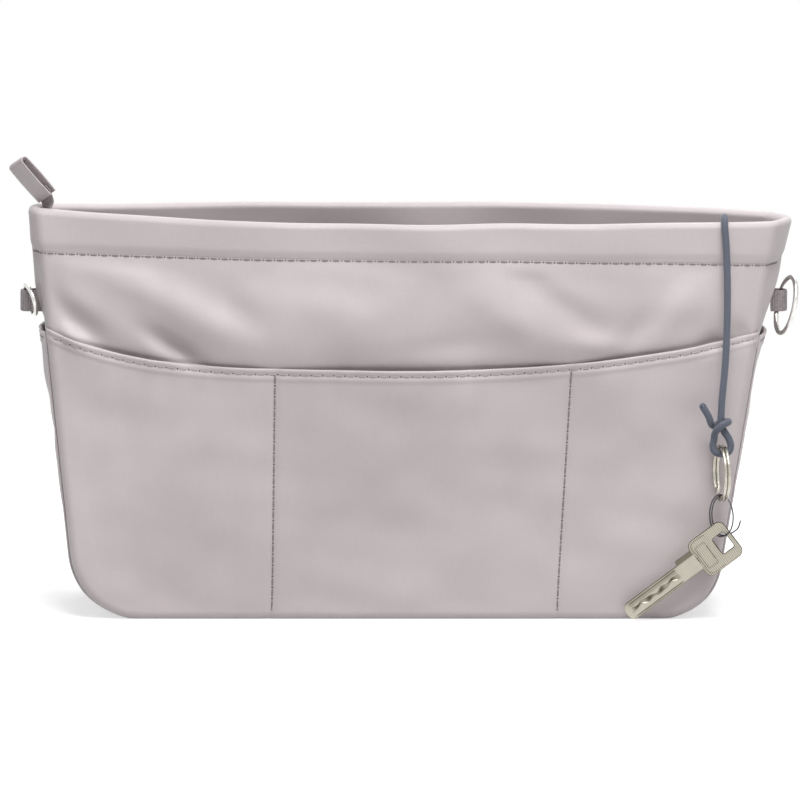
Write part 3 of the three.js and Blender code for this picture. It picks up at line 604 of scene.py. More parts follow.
@dataclass(frozen=True)
class KeyFinish:
    """Plate with a fine hatch across the head, random spots, and painted shade as deep as V of its pattern
    coordinates says.
    """

    name: str
    bright: Colour
    dark: Colour
    roughness: float = 0.3
    hatch: float = 0.8 * MM
    head: float = 9.0 * MM

    def material(self) -> Material:
        """Builds the material: the hatch's height is sin of the place along the key, on the head alone."""
        shader = Shader(self.name)
        along, painted_shade = shader.pattern()
        wave = shader.wave(along, self.hatch)
        hatch = shader.math("MULTIPLY", wave, shader.math("LESS_THAN", along, self.head))
        cloud = shader.grain(240, 4)
        # V carries painted shade from the mesh; a noise adds random darker spots. The hatch is then painted
        # lighter on its crests and darker in its troughs, as shade.
        spots_and_shade = shader.math("MULTIPLY_ADD", cloud, 0.3, painted_shade)
        shade = shader.math("MULTIPLY_ADD", hatch, -0.3, spots_and_shade)
        colour = shader.ramp(shade, 0.1, 1.1, self.bright, self.dark)
        rough = shader.between(spots_and_shade, 0.1, 1.0, self.roughness, self.roughness + 0.2)
        normal = shader.bump(hatch, 0.1 * MM, 0.6)
        return shader.finish(Base_Color=colour, Metallic=0.9, Roughness=rough, Normal=normal)


@dataclass(frozen=True)
class CordFinish:
    """Braided sheath: two families of strands that cross round the cord, from its own UV, painted darker
    between the strands as shade.
    """

    name: str
    light: Colour
    dark: Colour
    strands: int = 6
    pitch: float = 4.2 * MM

    def material(self) -> Material:
        """Builds the material: a family's height is |sin(pi strands round +- 4 pi along / pitch)|."""
        shader = Shader(self.name)
        round_share, along = shader.pattern()
        turn = shader.math("MULTIPLY", round_share, 2 * math.pi * self.strands)
        families = []
        for sense in (1, -1):
            run = shader.math("MULTIPLY", along, sense * 2 * math.pi / self.pitch * 2)
            phase = shader.math("MULTIPLY_ADD", turn, 0.5, run)
            families.append(shader.math("ABSOLUTE", shader.math("SINE", phase)))
        height = shader.math("MAXIMUM", *families)
        fuzz = shader.grain(2500, 2)
        # Painted shade: the colour follows the braid's height, dark in the hollows between strands and light
        # on their crests.
        mixed = shader.math("MULTIPLY_ADD", fuzz, 0.5, shader.math("MULTIPLY", height, 0.7))
        colour = shader.ramp(mixed, 0.55, 1.05, self.dark, self.light)
        normal = shader.bump(height, 0.12 * MM, 0.7)
        shader.finish(Base_Color=colour, Roughness=0.62, Normal=normal)
        return shader.finish(Sheen_Weight=0.25, Specular_IOR_Level=0.35)


@dataclass(frozen=True)
class GrainFinish:
    """Foam, board or thread: one noise for grain, which tints and roughens the surface."""

    name: str
    light: Colour
    dark: Colour
    grain: float
    depth: float
    roughness: float = 0.85

    def material(self) -> Material:
        """Builds the material."""
        shader = Shader(self.name)
        grain = shader.grain(1 / self.grain, 3)
        colour = shader.ramp(grain, 0.35, 0.65, self.dark, self.light)
        rough = shader.between(grain, 0.3, 0.7, self.roughness - 0.06, self.roughness + 0.06)
        return shader.finish(Base_Color=colour, Roughness=rough, Normal=shader.bump(grain, self.depth, 0.7))


class Finishes:
    """The finishes of the insert, each built once, by their slot or a name of their own."""

    def __init__(self) -> None:
        """Builds every material."""
        finishes = {
            "nylon": ClothFinish("satin_nylon", tone(204, 195, 196), tone(192, 182, 184)),
            "lining": ClothFinish(
                "lining_cloth", tone(204, 193, 195), tone(188, 177, 179), roughness=0.52, sheen=0.2
            ),
            "tape": ClothFinish(
                "zip_tape_cloth", tone(172, 162, 164), tone(150, 140, 143), roughness=0.7,
                thread=0.6 * MM, slub=1.2 * MM, weave_depth=0.08 * MM,
            ),
            "webbing": WebbingFinish("loop_webbing", tone(178, 169, 170), tone(138, 129, 131)),
            "foam": GrainFinish("foam", tone(226, 222, 216), tone(205, 200, 194), 0.9 * MM, 0.2 * MM),
            "board": GrainFinish(
                "board_cover", tone(168, 157, 160), tone(140, 130, 133), 0.5 * MM, 0.1 * MM
            ),
            "thread": GrainFinish(
                "sewing_thread", tone(150, 140, 142), tone(122, 113, 115), 0.25 * MM, 0.05 * MM, 0.6
            ),
            "hem_thread": GrainFinish(
                "pocket_hem_thread", tone(188, 179, 180), tone(166, 156, 158), 0.25 * MM, 0.05 * MM, 0.6
            ),
            # Painted shade: the dark colour of the needle-hole marks.
            "hole": GrainFinish(
                "painted_hole_shade", tone(112, 103, 105), tone(90, 82, 84), 0.3 * MM, 0.05 * MM, 0.9
            ),
            "nickel": MetalFinish("nickel_ring", tone(235, 234, 231), tone(206, 204, 200), 0.12),
            "key_metal": MetalFinish("ring_nickel", tone(198, 195, 184), tone(150, 146, 132), 0.22),
            "key_plate": KeyFinish("key_plate", tone(180, 176, 162), tone(72, 66, 52)),
            "dark_wire": MetalFinish("dark_wire", tone(92, 92, 98), tone(60, 60, 66), 0.3),
            "cord": CordFinish("leash_braid", tone(112, 118, 133), tone(46, 50, 61)),
        }
        self.materials = {name: finish.material() for name, finish in finishes.items()}

    def dress(self, piece: Piece, body: str | None, slot: str, *nodes: str, finish: str = "") -> Piece:
        """Gives a piece its material and body, hides the nodes that it replaces, and reports it.

        Args:
            piece: The piece.
            body: Body that it rides on, or None for a piece that is attached to none.
            slot: Material slot of the record.
            nodes: Nodes that it replaces.
            finish: Name of its finish, where that isn't the slot's own.

        Returns:
            The piece.
        """
        piece.data.materials.append(self.materials[finish or slot])
        if body:
            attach(piece, body)
        if nodes:
            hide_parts(*nodes)
        LOG.info("%s: %d faces, rides on %s", piece.name, len(piece.data.polygons), body or "two bodies")
        return piece


@dataclass(frozen=True)
class Side:
    """One side of the front outline, and how the walls and the strip behave there.

    The base is flat up to a round corner, and the edge leans out above it. The strip bows, billows beside
    the loop, tucks in below it and flares at its pocket. The rim hangs by sag, its hem runs lower by hem.
    The walls draw in to half the mouth by the power draw, and the pocket's edge rises by the power pocket.
    """

    sign: int
    base: float
    corner: float
    lean: float
    bow: float
    mouth: float
    draw: float
    pocket: float
    sag: float
    billow: float
    hem: float
    tuck: float
    flare: float


LEFT = Side(
    sign=-1, base=106.4 * MM, corner=30 * MM, lean=math.radians(6.3), bow=1.6 * MM, mouth=9 * MM, draw=1.0,
    pocket=4.5, sag=0.0, billow=2.6 * MM, hem=1.9 * MM, tuck=0.0, flare=1.4 * MM,
)
RIGHT = Side(
    sign=1, base=110.5 * MM, corner=26 * MM, lean=math.radians(9.6), bow=5.4 * MM, mouth=16 * MM, draw=1.4,
    pocket=2.4, sag=4.5 * MM, billow=0.4 * MM, hem=3.6 * MM, tuck=1.6 * MM, flare=0.5 * MM,
)


@dataclass(frozen=True)
class Fold:
    """A soft ridge or valley in a wall, in millimetres, turned by an angle in degrees."""

    x: float
    z: float
    angle: float
    length: float
    width: float
    rise: float

    def height(self, x: Array, z: Array) -> Array:
        """Height in metres: rise * exp(-(along / length)^2 - (across / width)^2)."""
        turn = math.radians(self.angle)
        right, up = x / MM - self.x, z / MM - self.z
        along = right * math.cos(turn) + up * math.sin(turn)
        across = up * math.cos(turn) - right * math.sin(turn)
        return self.rise * MM * np.exp(-((along / self.length) ** 2) - (across / self.width) ** 2)


FRONT_FOLDS = (
    Fold(-135, 125, -36, 15, 5.5, -2.1), Fold(-137, 117.5, -20, 9, 3.5, 1.3),
    Fold(-93, 115, -30, 12, 4, -2.3), Fold(-86, 128, -29, 26, 9, 1.5),
    Fold(-66, 131, -37, 13, 7, -0.7), Fold(-112, 141, -20, 22, 7, 0.7),
    Fold(-25, 126, -4, 40, 14, 0.7), Fold(20, 116, 6, 26, 5, -0.4),
    Fold(69, 135, -35, 23, 6, -0.9), Fold(52, 127, -30, 22, 8, 0.9),
    Fold(103, 123, 48, 13, 6, -1.1), Fold(116, 130, 42, 16, 8, 0.9),
    Fold(86, 117, -8, 13, 5, 0.9), Fold(149, 119, -28, 7, 4, -1.6),
    Fold(134, 117, 20, 6, 4, -1.0),
)
BACK_FOLDS = (
    Fold(-120, 122, 34, 15, 5, -1.8), Fold(-100, 132, 28, 24, 8, 1.5),
    Fold(-48, 119, -24, 14, 5, -1.5), Fold(-20, 130, 5, 38, 11, 1.2),
    Fold(34, 124, 30, 20, 6, -1.2), Fold(60, 132, 24, 24, 8, 1.3),
    Fold(104, 120, -36, 14, 5, -1.7), Fold(130, 128, -30, 16, 6, 1.1),
)


@dataclass(frozen=True)
class Form:
    """The bag's shape: walls that belly, a mouth pinched at the left, a rim that sags, and sewn slack."""

    height: float = 170 * MM
    rim_sag: float = 3 * MM
    base_half: float = 40 * MM
    belly_half: float = 42 * MM
    mouth_half: float = 38 * MM
    pinch: float = 1.3
    bow_power: float = 2.0
    sag_power: float = 4.0
    seam_round: float = 3.2 * MM
    hem_line: float = 153.6 * MM
    pocket_middle: float = 106.5 * MM
    pocket_rise: float = 14.5 * MM
    divider_tops: Pair = (-50.2 * MM, 73.9 * MM)
    divider_feet: Pair = (-51.5 * MM, 67.5 * MM)
    billow_height: float = 142 * MM
    billow_reach: float = 19 * MM
    tuck_height: float = 105 * MM
    tuck_reach: float = 22 * MM
    loop_dent: float = 0.75
    loop_dent_width: float = 0.35
    leg_depth: Pair = (0.5 * MM, 1.5 * MM)
    hem_fade: float = 12 * MM
    puff: float = 1.5 * MM
    puff_skew: float = 0.65
    puff_power: float = 0.8
    fullness: float = 1.3 * MM
    full_until: Pair = (95 * MM, 128 * MM)
    fold_gain: float = 2.2
    fold_fade: Pair = (9 * MM, 0.5 * MM)
    drift: float = 0.45 * MM
    drift_wave: float = 52 * MM
    ripple_share: float = 0.35
    ripple_wave: float = 19 * MM
    held_edge: Pair = (0.5 * MM, 12 * MM)
    least_round: float = 0.3 * MM
    inside: Array = field(default_factory=lambda: np.array([0, 0, 85 * MM]))

    def edge(self, side: Side, z: Array, inset: float | Array = 0.0) -> Array:
        """X of a side's outline at height z, moved in by inset: an arc, and a leaning line above it."""
        radius = side.corner - inset
        tangent = side.corner - radius * math.sin(side.lean)
        line = radius * math.cos(side.lean) + (z - tangent) * math.tan(side.lean)
        arc = np.sqrt(np.maximum(radius**2 - (z - side.corner) ** 2, 0))
        return side.sign * (side.base + np.where(z >= tangent, line, arc))

    def place(self, u: Array, z: Array, inset: float | Array = 0.0) -> Array:
        """X at the share u, from -1 at the left outline to 1 at the right one."""
        left, right = self.edge(LEFT, z, inset), self.edge(RIGHT, z, inset)
        return left + (right - left) * (u + 1) / 2

    def seam_radius(self, inset: float | Array) -> Array:
        """Radius of the round between a wall and the strip, moved in by inset."""
        return np.maximum(self.seam_round - inset, self.least_round)

    def edge_half(self, side: Side, z: Array) -> Array:
        """Half depth of the bag at a side: from the base's to the mouth's, by a power of the height."""
        return self.base_half - (self.base_half - side.mouth) * np.maximum(z / self.height, 0) ** self.pinch

    def half(self, u: Array, z: Array) -> Array:
        """Half depth of a wall: a belly in the middle, drawn in to each side by (1 - cos(pi u / 2))^draw."""
        share = z / self.height
        straight = self.base_half + (self.mouth_half - self.base_half) * share
        swell = 4 * (self.belly_half - (self.base_half + self.mouth_half) / 2)
        middle = straight + swell * share * (1 - share)
        drawn = 1 - np.cos(np.pi * np.abs(u) / 2)
        left = middle - (middle - self.edge_half(LEFT, z)) * drawn**LEFT.draw
        right = middle - (middle - self.edge_half(RIGHT, z)) * drawn**RIGHT.draw
        return np.where(u < 0, left, right)

    def side_sag(self, side: Side, z: Array) -> Array:
        """How far a side hangs, by a high power of the height."""
        return side.sag * np.maximum(z / self.height, 0) ** self.sag_power

    def sag(self, u: Array, z: Array) -> Array:
        """How far a wall hangs at u: from the rim's sag in the middle to each side's, by u squared."""
        ends = np.where(u < 0, LEFT.sag, RIGHT.sag)
        hang = self.rim_sag + (ends - self.rim_sag) * u * u
        return hang * np.maximum(z / self.height, 0) ** self.sag_power

    def hem_drop(self, u: Array, z: Array, depth: Array) -> Array:
        """How far the band's outer leg runs lower to the sides: by u squared, fading out at the roll."""
        ends = np.where(u < 0, LEFT.hem, RIGHT.hem)
        outer = 1 - ease(*self.leg_depth, depth)
        return ends * u * u * outer * (1 - ease(self.hem_line, self.hem_line + self.hem_fade, z))

    def bow(self, side: Side, z: Array) -> Array:
        """How far a side strip bows out where it is sewn to its loop, by the height squared."""
        return side.bow * (z / self.height) ** self.bow_power

    def bulge(self, side: Side, z: Array, w: Array) -> Array:
        """How far a side strip stands out at w: its bow, less a tuck, and a billow beside the loop."""
        billow = side.billow * bell(z - self.billow_height, self.billow_reach)
        tuck = side.tuck * bell(z - self.tuck_height, self.tuck_reach)
        loose = billow * (1 - self.loop_dent * bell(w, self.loop_dent_width))
        return (self.bow(side, z) - tuck + loose) * (1 - w * w)

    def border_gap(self, x: Array, z: Array, inset: float | Array) -> Array:
        """Distance from the front outline, moved in by inset: base line, side lines and corner arcs."""
        gap = z - inset
        for side in (LEFT, RIGHT):
            out, up = side.sign * x - side.base, z - side.corner
            radius = side.corner - inset
            line = radius - (out * math.cos(side.lean) - up * math.sin(side.lean))
            turned = (out > 0) & (up < 0) & (out * math.sin(side.lean) + up * math.cos(side.lean) < 0)
            gap = np.where(turned, radius - np.hypot(out, up), np.minimum(gap, line))
        return np.maximum(gap, 0)

    def across(self, x: float, z: float) -> float:
        """The share u, from -1 to 1, of a point of the wall at x and height z."""
        left, right = (float(self.edge(side, np.array(z))) for side in (LEFT, RIGHT))
        return 2 * (x - left) / (right - left) - 1

    def pocket_top(self, u: Array) -> Array:
        """Height of the pocket's edge: level in the middle, rising to the sides by a power of u."""
        rise = np.where(u < 0, np.abs(u) ** LEFT.pocket, np.abs(u) ** RIGHT.pocket)
        return self.pocket_middle + self.pocket_rise * rise

    def dividers(self, z: Array) -> list[Array]:
        """X of each pocket divider's stitch line at height z, a straight line from foot to top."""
        share = z / self.pocket_middle
        return [foot + (top - foot) * share for top, foot in zip(self.divider_tops, self.divider_feet)]

    def slack(self, face: Face, u: Array, x: Array, z: Array, gap: Array) -> Array:
        """How far a wall stands out from its plain form: folds, a puff from pocket to hem, and a slow drift.

        Args:
            face: Front or back.
            u: Share across.
            x: Place across, in metres.
            z: Height, in metres.
            gap: Distance from the outline, in metres.

        Returns:
            Distance outwards, in metres.
        """
        folds = FRONT_FOLDS if face is Face.FRONT else BACK_FOLDS
        total = self.fold_gain * sum(fold.height(x, z) for fold in folds)
        below_hem = 1 - ease(self.hem_line - self.fold_fade[0], self.hem_line - self.fold_fade[1], z)
        share = np.clip((z - self.pocket_top(u)) / (self.hem_line - self.pocket_top(u)), 0, 1)
        loose = self.puff + self.fullness * (1 - ease(*self.full_until, x))
        total = total * below_hem + loose * np.sin(np.pi * share**self.puff_skew) ** self.puff_power
        seed = Seed.FRONT_WALL if face is Face.FRONT else Seed.BACK_WALL
        total = total + self.drift * soft_noise(x, z, self.drift_wave, seed)
        ripple = soft_noise(x, z, self.ripple_wave, seed + 1)
        total = total + self.ripple_share * self.drift * below_hem * ripple
        return total * ease(*self.held_edge, gap)

    def wall(
        self, face: Face, u: Array, z: Array, depth: float | Array = 0.0, inset: float | Array = 0.0
    ) -> Array:
        """Points of a wall: half depth less depth, rounded back at its outline, with its slack.

        Args:
            face: Front or back.
            u: Share across, -1 to 1.
            z: Height before the rim's sag.
            depth: Distance in from the outer face.
            inset: Distance in from the outline.

        Returns:
            Points in the shape of u, z and depth together, by 3.
        """
        u, z, depth, inset = np.broadcast_arrays(u, z, depth, inset)
        x = self.place(u, z, inset)
        gap = self.border_gap(x, z, inset)
        radius = self.seam_radius(inset)
        short = np.maximum(radius - gap, 0)
        rounding = radius - np.sqrt(radius**2 - short**2)
        out = self.half(u, z) - depth - rounding + self.slack(face, u, x, z, gap)
        return np.stack([x, face.value * out, z - self.sag(u, z)], -1)

    def side_end(self, side: Side, w: Array, z: Array, inset: float | Array) -> Array:
        """Points of a side strip at height z, w from -1 at the front to 1 at the back, moved in by inset."""
        w, z, inset = np.broadcast_arrays(w, z, inset)
        half = self.edge_half(side, z) - inset - self.seam_radius(inset)
        bow = side.sign * self.bulge(side, z, w)
        return np.stack([self.edge(side, z, inset) + bow, w * half, z - self.side_sag(side, z)], -1)

    def strip_path(
        self, side: Side, inset: float, low: float, top: float, count: int
    ) -> tuple[Array, Array]:
        """X and Z along one side's outline, from its base line or part way round its corner, up to top.

        Args:
            side: The side.
            inset: Distance in from the outline.
            low: Share of the corner's arc where the path starts, 0 to 1.
            top: Height where it ends.
            count: Number of points.

        Returns:
            X and Z of the points.
        """
        radius = side.corner - inset
        arc = math.pi / 2 - side.lean
        tangent = side.corner - radius * math.sin(side.lean)
        bend = radius * arc * (1 - low)
        length = bend + (top - tangent) / math.cos(side.lean)
        run = np.linspace(0, length, count)
        angle = -math.pi / 2 + arc * low + np.minimum(run, bend) / radius
        rise = np.maximum(run - bend, 0)
        x = side.base + radius * np.cos(angle) + rise * math.sin(side.lean)
        z = side.corner + radius * np.sin(angle) + rise * math.cos(side.lean)
        return side.sign * x, z


@dataclass
class Needlework:
    """Rows of lockstitch: short thread arcs that dive into the cloth, and small dark arcs between them that
    paint the shade in each needle hole, gathered in one mesh each.
    """

    pitch: float = 4.7 * MM
    length: float = 3.9 * MM
    radius: float = 0.36 * MM
    rings: int = 8
    sides: int = 6
    thread_rise: float = 0.75
    thread_sink: float = -0.7
    # Sizes of the dark marks that paint the shade in the needle holes.
    shade_mark_length: float = 0.8 * MM
    shade_mark_swell: float = 1.25
    shade_mark_rise: float = 0.12
    shade_mark_sink: float = -0.85
    taper: float = 0.4
    threads: list[Array] = field(default_factory=list)
    hole_shade_marks: list[Array] = field(default_factory=list)

    def row(self, line: Array, normal: Array) -> None:
        """Adds a row along a line on a surface: threads at equal steps, and between each two a dark mark of
        painted shade for the needle hole.

        Args:
            line: Points of the stitch line, count by 3.
            normal: Outward normals at them.
        """
        along = run_along(line)
        count = max(int(along[-1] / self.pitch), 1)
        start = (np.arange(count) + 0.5) * along[-1] / count
        thread = (start, self.length, self.radius, self.thread_rise, self.thread_sink)
        # Painted shade: a small dark arc at each needle hole, sunk mostly under the cloth, stands in for the
        # shade inside the hole.
        between, wide = start + along[-1] / count / 2, self.radius * self.shade_mark_swell
        hole = (between, self.shade_mark_length, wide, self.shade_mark_rise, self.shade_mark_sink)
        for rows, (middles, length, *shape) in ((self.threads, thread), (self.hole_shade_marks, hole)):
            place = middles[:, None] + (np.linspace(0, 1, self.rings)[None] - 0.5) * length
            rows.append(self.arcs(sample(place, along, line), sample(place, along, normal), *shape))

    def arcs(self, middle: Array, normal: Array, radius: float, rise: float, sink: float) -> Array:
        """Short round arcs on a surface. With a = sin(pi t)^taper, both radius and height grow with a.

        Args:
            middle: Points on the surface, arcs by rings by 3.
            normal: Normals at them.
            radius: Greatest radius of an arc.
            rise: Height of its middle, in radii.
            sink: Height of its ends, in radii.

        Returns:
            Points, arcs by rings by sides by 3.
        """
        up = unit(normal)
        arch = np.sin(np.pi * np.linspace(0, 1, self.rings))
        arch[[0, -1]] = 0
        arch = arch**self.taper
        middle = middle + up * (radius * (sink + (rise - sink) * arch))[None, :, None]
        across = unit(np.cross(unit(np.gradient(middle, axis=1)), up))
        angle = full_turn(self.sides)
        spoke = across[:, :, None] * np.cos(angle)[:, None] + up[:, :, None] * np.sin(angle)[:, None]
        return middle[:, :, None] + spoke * (radius * arch)[None, :, None, None]

    @staticmethod
    def gather(name: str, rows: list[Array]) -> Piece:
        """One piece of all arcs in some rows.

        Args:
            name: Name of the piece.
            rows: Arrays of arcs by rings by sides by 3.

        Returns:
            The piece.
        """
        arcs = np.concatenate(rows)
        count, rings, sides, _ = arcs.shape
        quads = grid_quads(rings, sides, False, True)
        every = (quads[None] + (np.arange(count) * rings * sides)[:, None, None]).reshape(-1, 4)
        points = arcs.reshape(-1, 3)
        return put_piece(name, points, every, points[:, [0, 2]])


@dataclass
class Shell:
    """The bag itself: walls with foam and lining, pockets, a side strip, a rolled rim and a base board."""

    form: Form
    finishes: Finishes
    work: Needlework
    hem_work: Needlework
    cloth: float = 0.7 * MM
    foam_depth: float = 1.0 * MM
    foam_cloth: float = 1.4 * MM
    lining_depth: float = 2.7 * MM
    lining_cloth: float = 0.5 * MM
    lining_inset: float = 1.8 * MM
    stack_top: float = 166 * MM
    columns: int = 220
    column_height: float = 60 * MM
    fold_rows: tuple[float, ...] = (0.0, 112 * MM, 128 * MM, 144 * MM)
    half_width: float = 150 * MM
    stitch_step: float = 0.4 * MM
    hem_depth: float = 6 * MM
    hem_stitch: float = 2.5 * MM
    hem_extra: float = 0.8 * MM
    hem_step: float = 1.5 * MM
    hem_dip: float = 0.42 * MM
    hem_dip_width: float = 0.8 * MM
    hem_rows: float = 9 * MM
    pocket_seat: float = 1.25 * MM
    pocket_overhang: float = 0.6 * MM
    pocket_foot: float = 40 * MM
    pocket_held: Pair = (1 * MM, 26 * MM)
    pocket_pouch: float = 2.1 * MM
    pocket_drift: float = 0.55 * MM
    pocket_drift_wave: float = 60 * MM
    pocket_dent: float = 0.6 * MM
    pocket_ripple: float = 0.3 * MM
    pocket_ripple_wave: float = 13 * MM
    divider_reach: float = 15 * MM
    divider_width: float = 1.7 * MM
    divider_depth: float = 0.5 * MM
    slip_reach: float = 0.78
    slip_low: float = 14 * MM
    slip_top: float = 96 * MM
    slip_seat: float = 4.2 * MM
    slip_pouch: float = 1.6 * MM
    slip_drift: float = 0.3 * MM
    slip_drift_wave: float = 30 * MM
    slip_half_width: float = 140 * MM
    strip_rumple: float = 0.5 * MM
    strip_rumple_wave: float = 34 * MM
    strip_rumple_from: Pair = (14 * MM, 45 * MM)
    strip_tuck: float = 0.5 * MM
    strip_tuck_width: float = 1.1 * MM
    strip_tuck_from: Pair = (2 * MM, 12 * MM)
    gusset_lining_inset: float = 1.0 * MM
    side_top: float = 119 * MM
    side_start: float = 0.35
    side_ripple: float = 0.35 * MM
    side_ripple_wave: float = 28 * MM
    side_half_width: float = 35 * MM
    side_foot: float = 14 * MM
    board_power: float = 0.16
    rim_wave: float = 0.12 * MM
    rim_wave_length: float = 70 * MM
    rim_wave_from: Pair = (154 * MM, 168 * MM)

    def column_shares(self) -> Array:
        """Shares across a wall that crowd at the pocket dividers and at both ends."""
        marks = [self.form.across(x, self.column_height) for x in self.form.divider_feet]
        return crowded(-1, 1, self.columns, [-1.0, *marks, 1.0], 0.035, 2.5)

    @staticmethod
    def facing(face: Face, shares: Array) -> Array:
        """Shares in the order that turns a wall's columns the same way round the bag."""
        return shares if face is Face.FRONT else shares[::-1]

    def skin(self, name: str, outer: Array, cloth: float, uv: Array) -> Piece:
        """A sheet, cloth thick, under its outer face."""
        return put_sheet(name, outer, outer - grid_normals(outer, self.form.inside) * cloth, uv)

    def near_hem(self, count: int) -> Array:
        """Distances below a hemmed edge, down to 0, that crowd by a square at the edge."""
        return self.hem_rows * np.linspace(0, 1, count)[::-1] ** 2

    def wall_columns(self, face: Face) -> Array:
        """Shares across a wall, in a row."""
        return self.facing(face, self.column_shares())[None, :]

    def wall_sheet(
        self, name: str, face: Face, depth: float, cloth: float, inset: float, rows: Array
    ) -> Piece:
        """A layer of a wall, cloth thick, with its outer face at depth and its edge moved in by inset."""
        outer = self.form.wall(face, self.wall_columns(face), rows[:, None], depth, inset)
        return self.skin(name, outer, cloth, outer[..., [0, 2]])

    def walls(self, face: Face) -> None:
        """Outer panel, foam and lining of one wall.

        Args:
            face: Front or back.
        """
        name = face.name.lower()
        rows = crowded(0.1 * MM, self.stack_top, 110, self.fold_rows, 12 * MM, 2.5)
        coarse = crowded(self.lining_inset, self.stack_top, 70, [0.0, 130 * MM], 25 * MM, 1.5)
        panel = self.wall_sheet(f"{name}_panel_cloth", face, 0, self.cloth, 0, rows)
        self.finishes.dress(panel, "bag", "nylon", f"{name}_panel")
        foam = self.wall_sheet(
            f"{name}_foam_pad", face, self.foam_depth, self.foam_cloth, self.lining_inset, coarse
        )
        self.finishes.dress(foam, "bag", "foam", f"{name}_foam")
        lining = self.wall_sheet(
            f"{name}_lining_cloth", face, self.lining_depth, self.lining_cloth, self.lining_inset, coarse
        )
        self.finishes.dress(lining, "bag", "lining", f"{name}_lining")

    def hem(self, drop: Array, cloth: float) -> tuple[Array, Array]:
        """Thickness of a pocket near its hemmed edge, and how far its face dips at the stitch line.

        Args:
            drop: Distance below the edge.
            cloth: Thickness of the cloth.

        Returns:
            Thickness, rounded off to 0 at the edge, and the dip.
        """
        full = cloth + self.hem_extra * (1 - ease(self.hem_depth - self.hem_step, self.hem_depth, drop))
        reach = full / 2
        thick = full * np.sqrt(np.clip(1 - (np.maximum(reach - drop, 0) / reach) ** 2, 0, 1))
        return thick, self.hem_dip * bell(drop - self.hem_stitch, self.hem_dip_width)

    def pocket_out(self, face: Face, u: Array, z: Array, top: Array) -> Array:
        """How far the outer pocket's middle stands off the panel: pouches held by edges and dividers."""
        x = self.form.place(u, z)
        gap = self.form.border_gap(x, np.maximum(z, self.pocket_foot), 0)
        held = ease(*self.pocket_held, gap)
        groove = np.zeros(np.broadcast(x, z).shape)
        for line in self.form.dividers(z):
            held = held * (1 - bell(x - line, self.divider_reach))
            groove = groove + bell(x - line, self.divider_width)
        share = np.clip(z / top, 0, 1)
        pouch = self.pocket_pouch * held * ease(0.3, 1.0, share)
        seed = Seed.FRONT_POCKET if face is Face.FRONT else Seed.BACK_POCKET
        drift = self.pocket_drift * soft_noise(x, z, self.pocket_drift_wave, seed) * held
        drift = np.maximum(drift * ease(0.05, 0.5, share), -self.pocket_dent)
        ripple = self.pocket_ripple * soft_noise(x, z / 3, self.pocket_ripple_wave, seed + 2) * held
        out = self.pocket_seat + pouch + drift + ripple * ease(0.75, 1.0, share)
        return out - self.divider_depth * groove

    def pocket_faces(self, face: Face, u: Array, drop: Array, top: Array) -> tuple[Array, Array]:
        """Outer and inner face of the outer pocket.

        Args:
            face: Front or back.
            u: Share across.
            drop: Distance below the pocket's edge.
            top: Height of the edge at u.

        Returns:
            Points of both faces.
        """
        z = top - drop
        thick, dip = self.hem(drop, self.cloth)
        out = self.pocket_out(face, u, z, top)
        outer = self.form.wall(face, u, z, -(out + thick / 2 - dip), -self.pocket_overhang)
        inner = self.form.wall(face, u, z, -(out - thick / 2), -self.pocket_overhang)
        return outer, inner

    def outer_pocket(self, face: Face) -> None:
        """The pocket sheet on the outside of one wall, its hem and its two dividers.

        Args:
            face: Front or back.
        """
        name = face.name.lower()
        u = self.wall_columns(face)
        top = self.form.pocket_top(u)
        rest = crowded(0, 1, 62, [0.0], 0.05, 7)[:-1, None]
        below = top - rest * (top - self.hem_rows) - 0.1 * MM
        drop = np.concatenate([below, self.near_hem(22)[:, None] + 0 * top])
        outer, inner = self.pocket_faces(face, u, drop, top)
        pocket = put_sheet(f"{name}_pocket_cloth", outer, inner, outer[..., [0, 2]])
        self.finishes.dress(pocket, "bag", "nylon", f"{name}_pocket")
        edge = np.linspace(-0.985, 0.985, 400)
        self.sew(self.hem_work, face, edge, np.full(400, self.hem_stitch))
        for line in range(2):
            z = np.linspace(self.form.pocket_middle - self.hem_stitch, 4 * MM, 160)
            shares = np.array([self.form.across(self.form.dividers(height)[line], height) for height in z])
            self.sew(self.work, face, shares, self.form.pocket_top(shares) - z)
            tack = np.linspace(0.6 * MM, self.hem_stitch + 5 * MM, 20)
            self.sew(self.work, face, np.full(len(tack), shares[0]), tack)

    def sew(self, work: Needlework, face: Face, u: Array, drop: Array) -> None:
        """Sews a row of stitches on the outer pocket.

        Args:
            work: Needlework that the row belongs to.
            face: Front or back.
            u: Shares across along the row.
            drop: Distances below the pocket's edge along it.
        """
        step = np.array([-1, 0, 1]) * self.stitch_step
        shares = u[:, None, None] + step[None, :, None] / self.half_width
        drops = drop[:, None, None] + step[None, None, :]
        outer, _ = self.pocket_faces(face, shares, drops, self.form.pocket_top(shares))
        right = outer[:, 2, 1] - outer[:, 0, 1]
        up = outer[:, 1, 0] - outer[:, 1, 2]
        work.row(outer[:, 1, 1], unit(np.cross(right, up)) * (1 if face is Face.FRONT else -1))

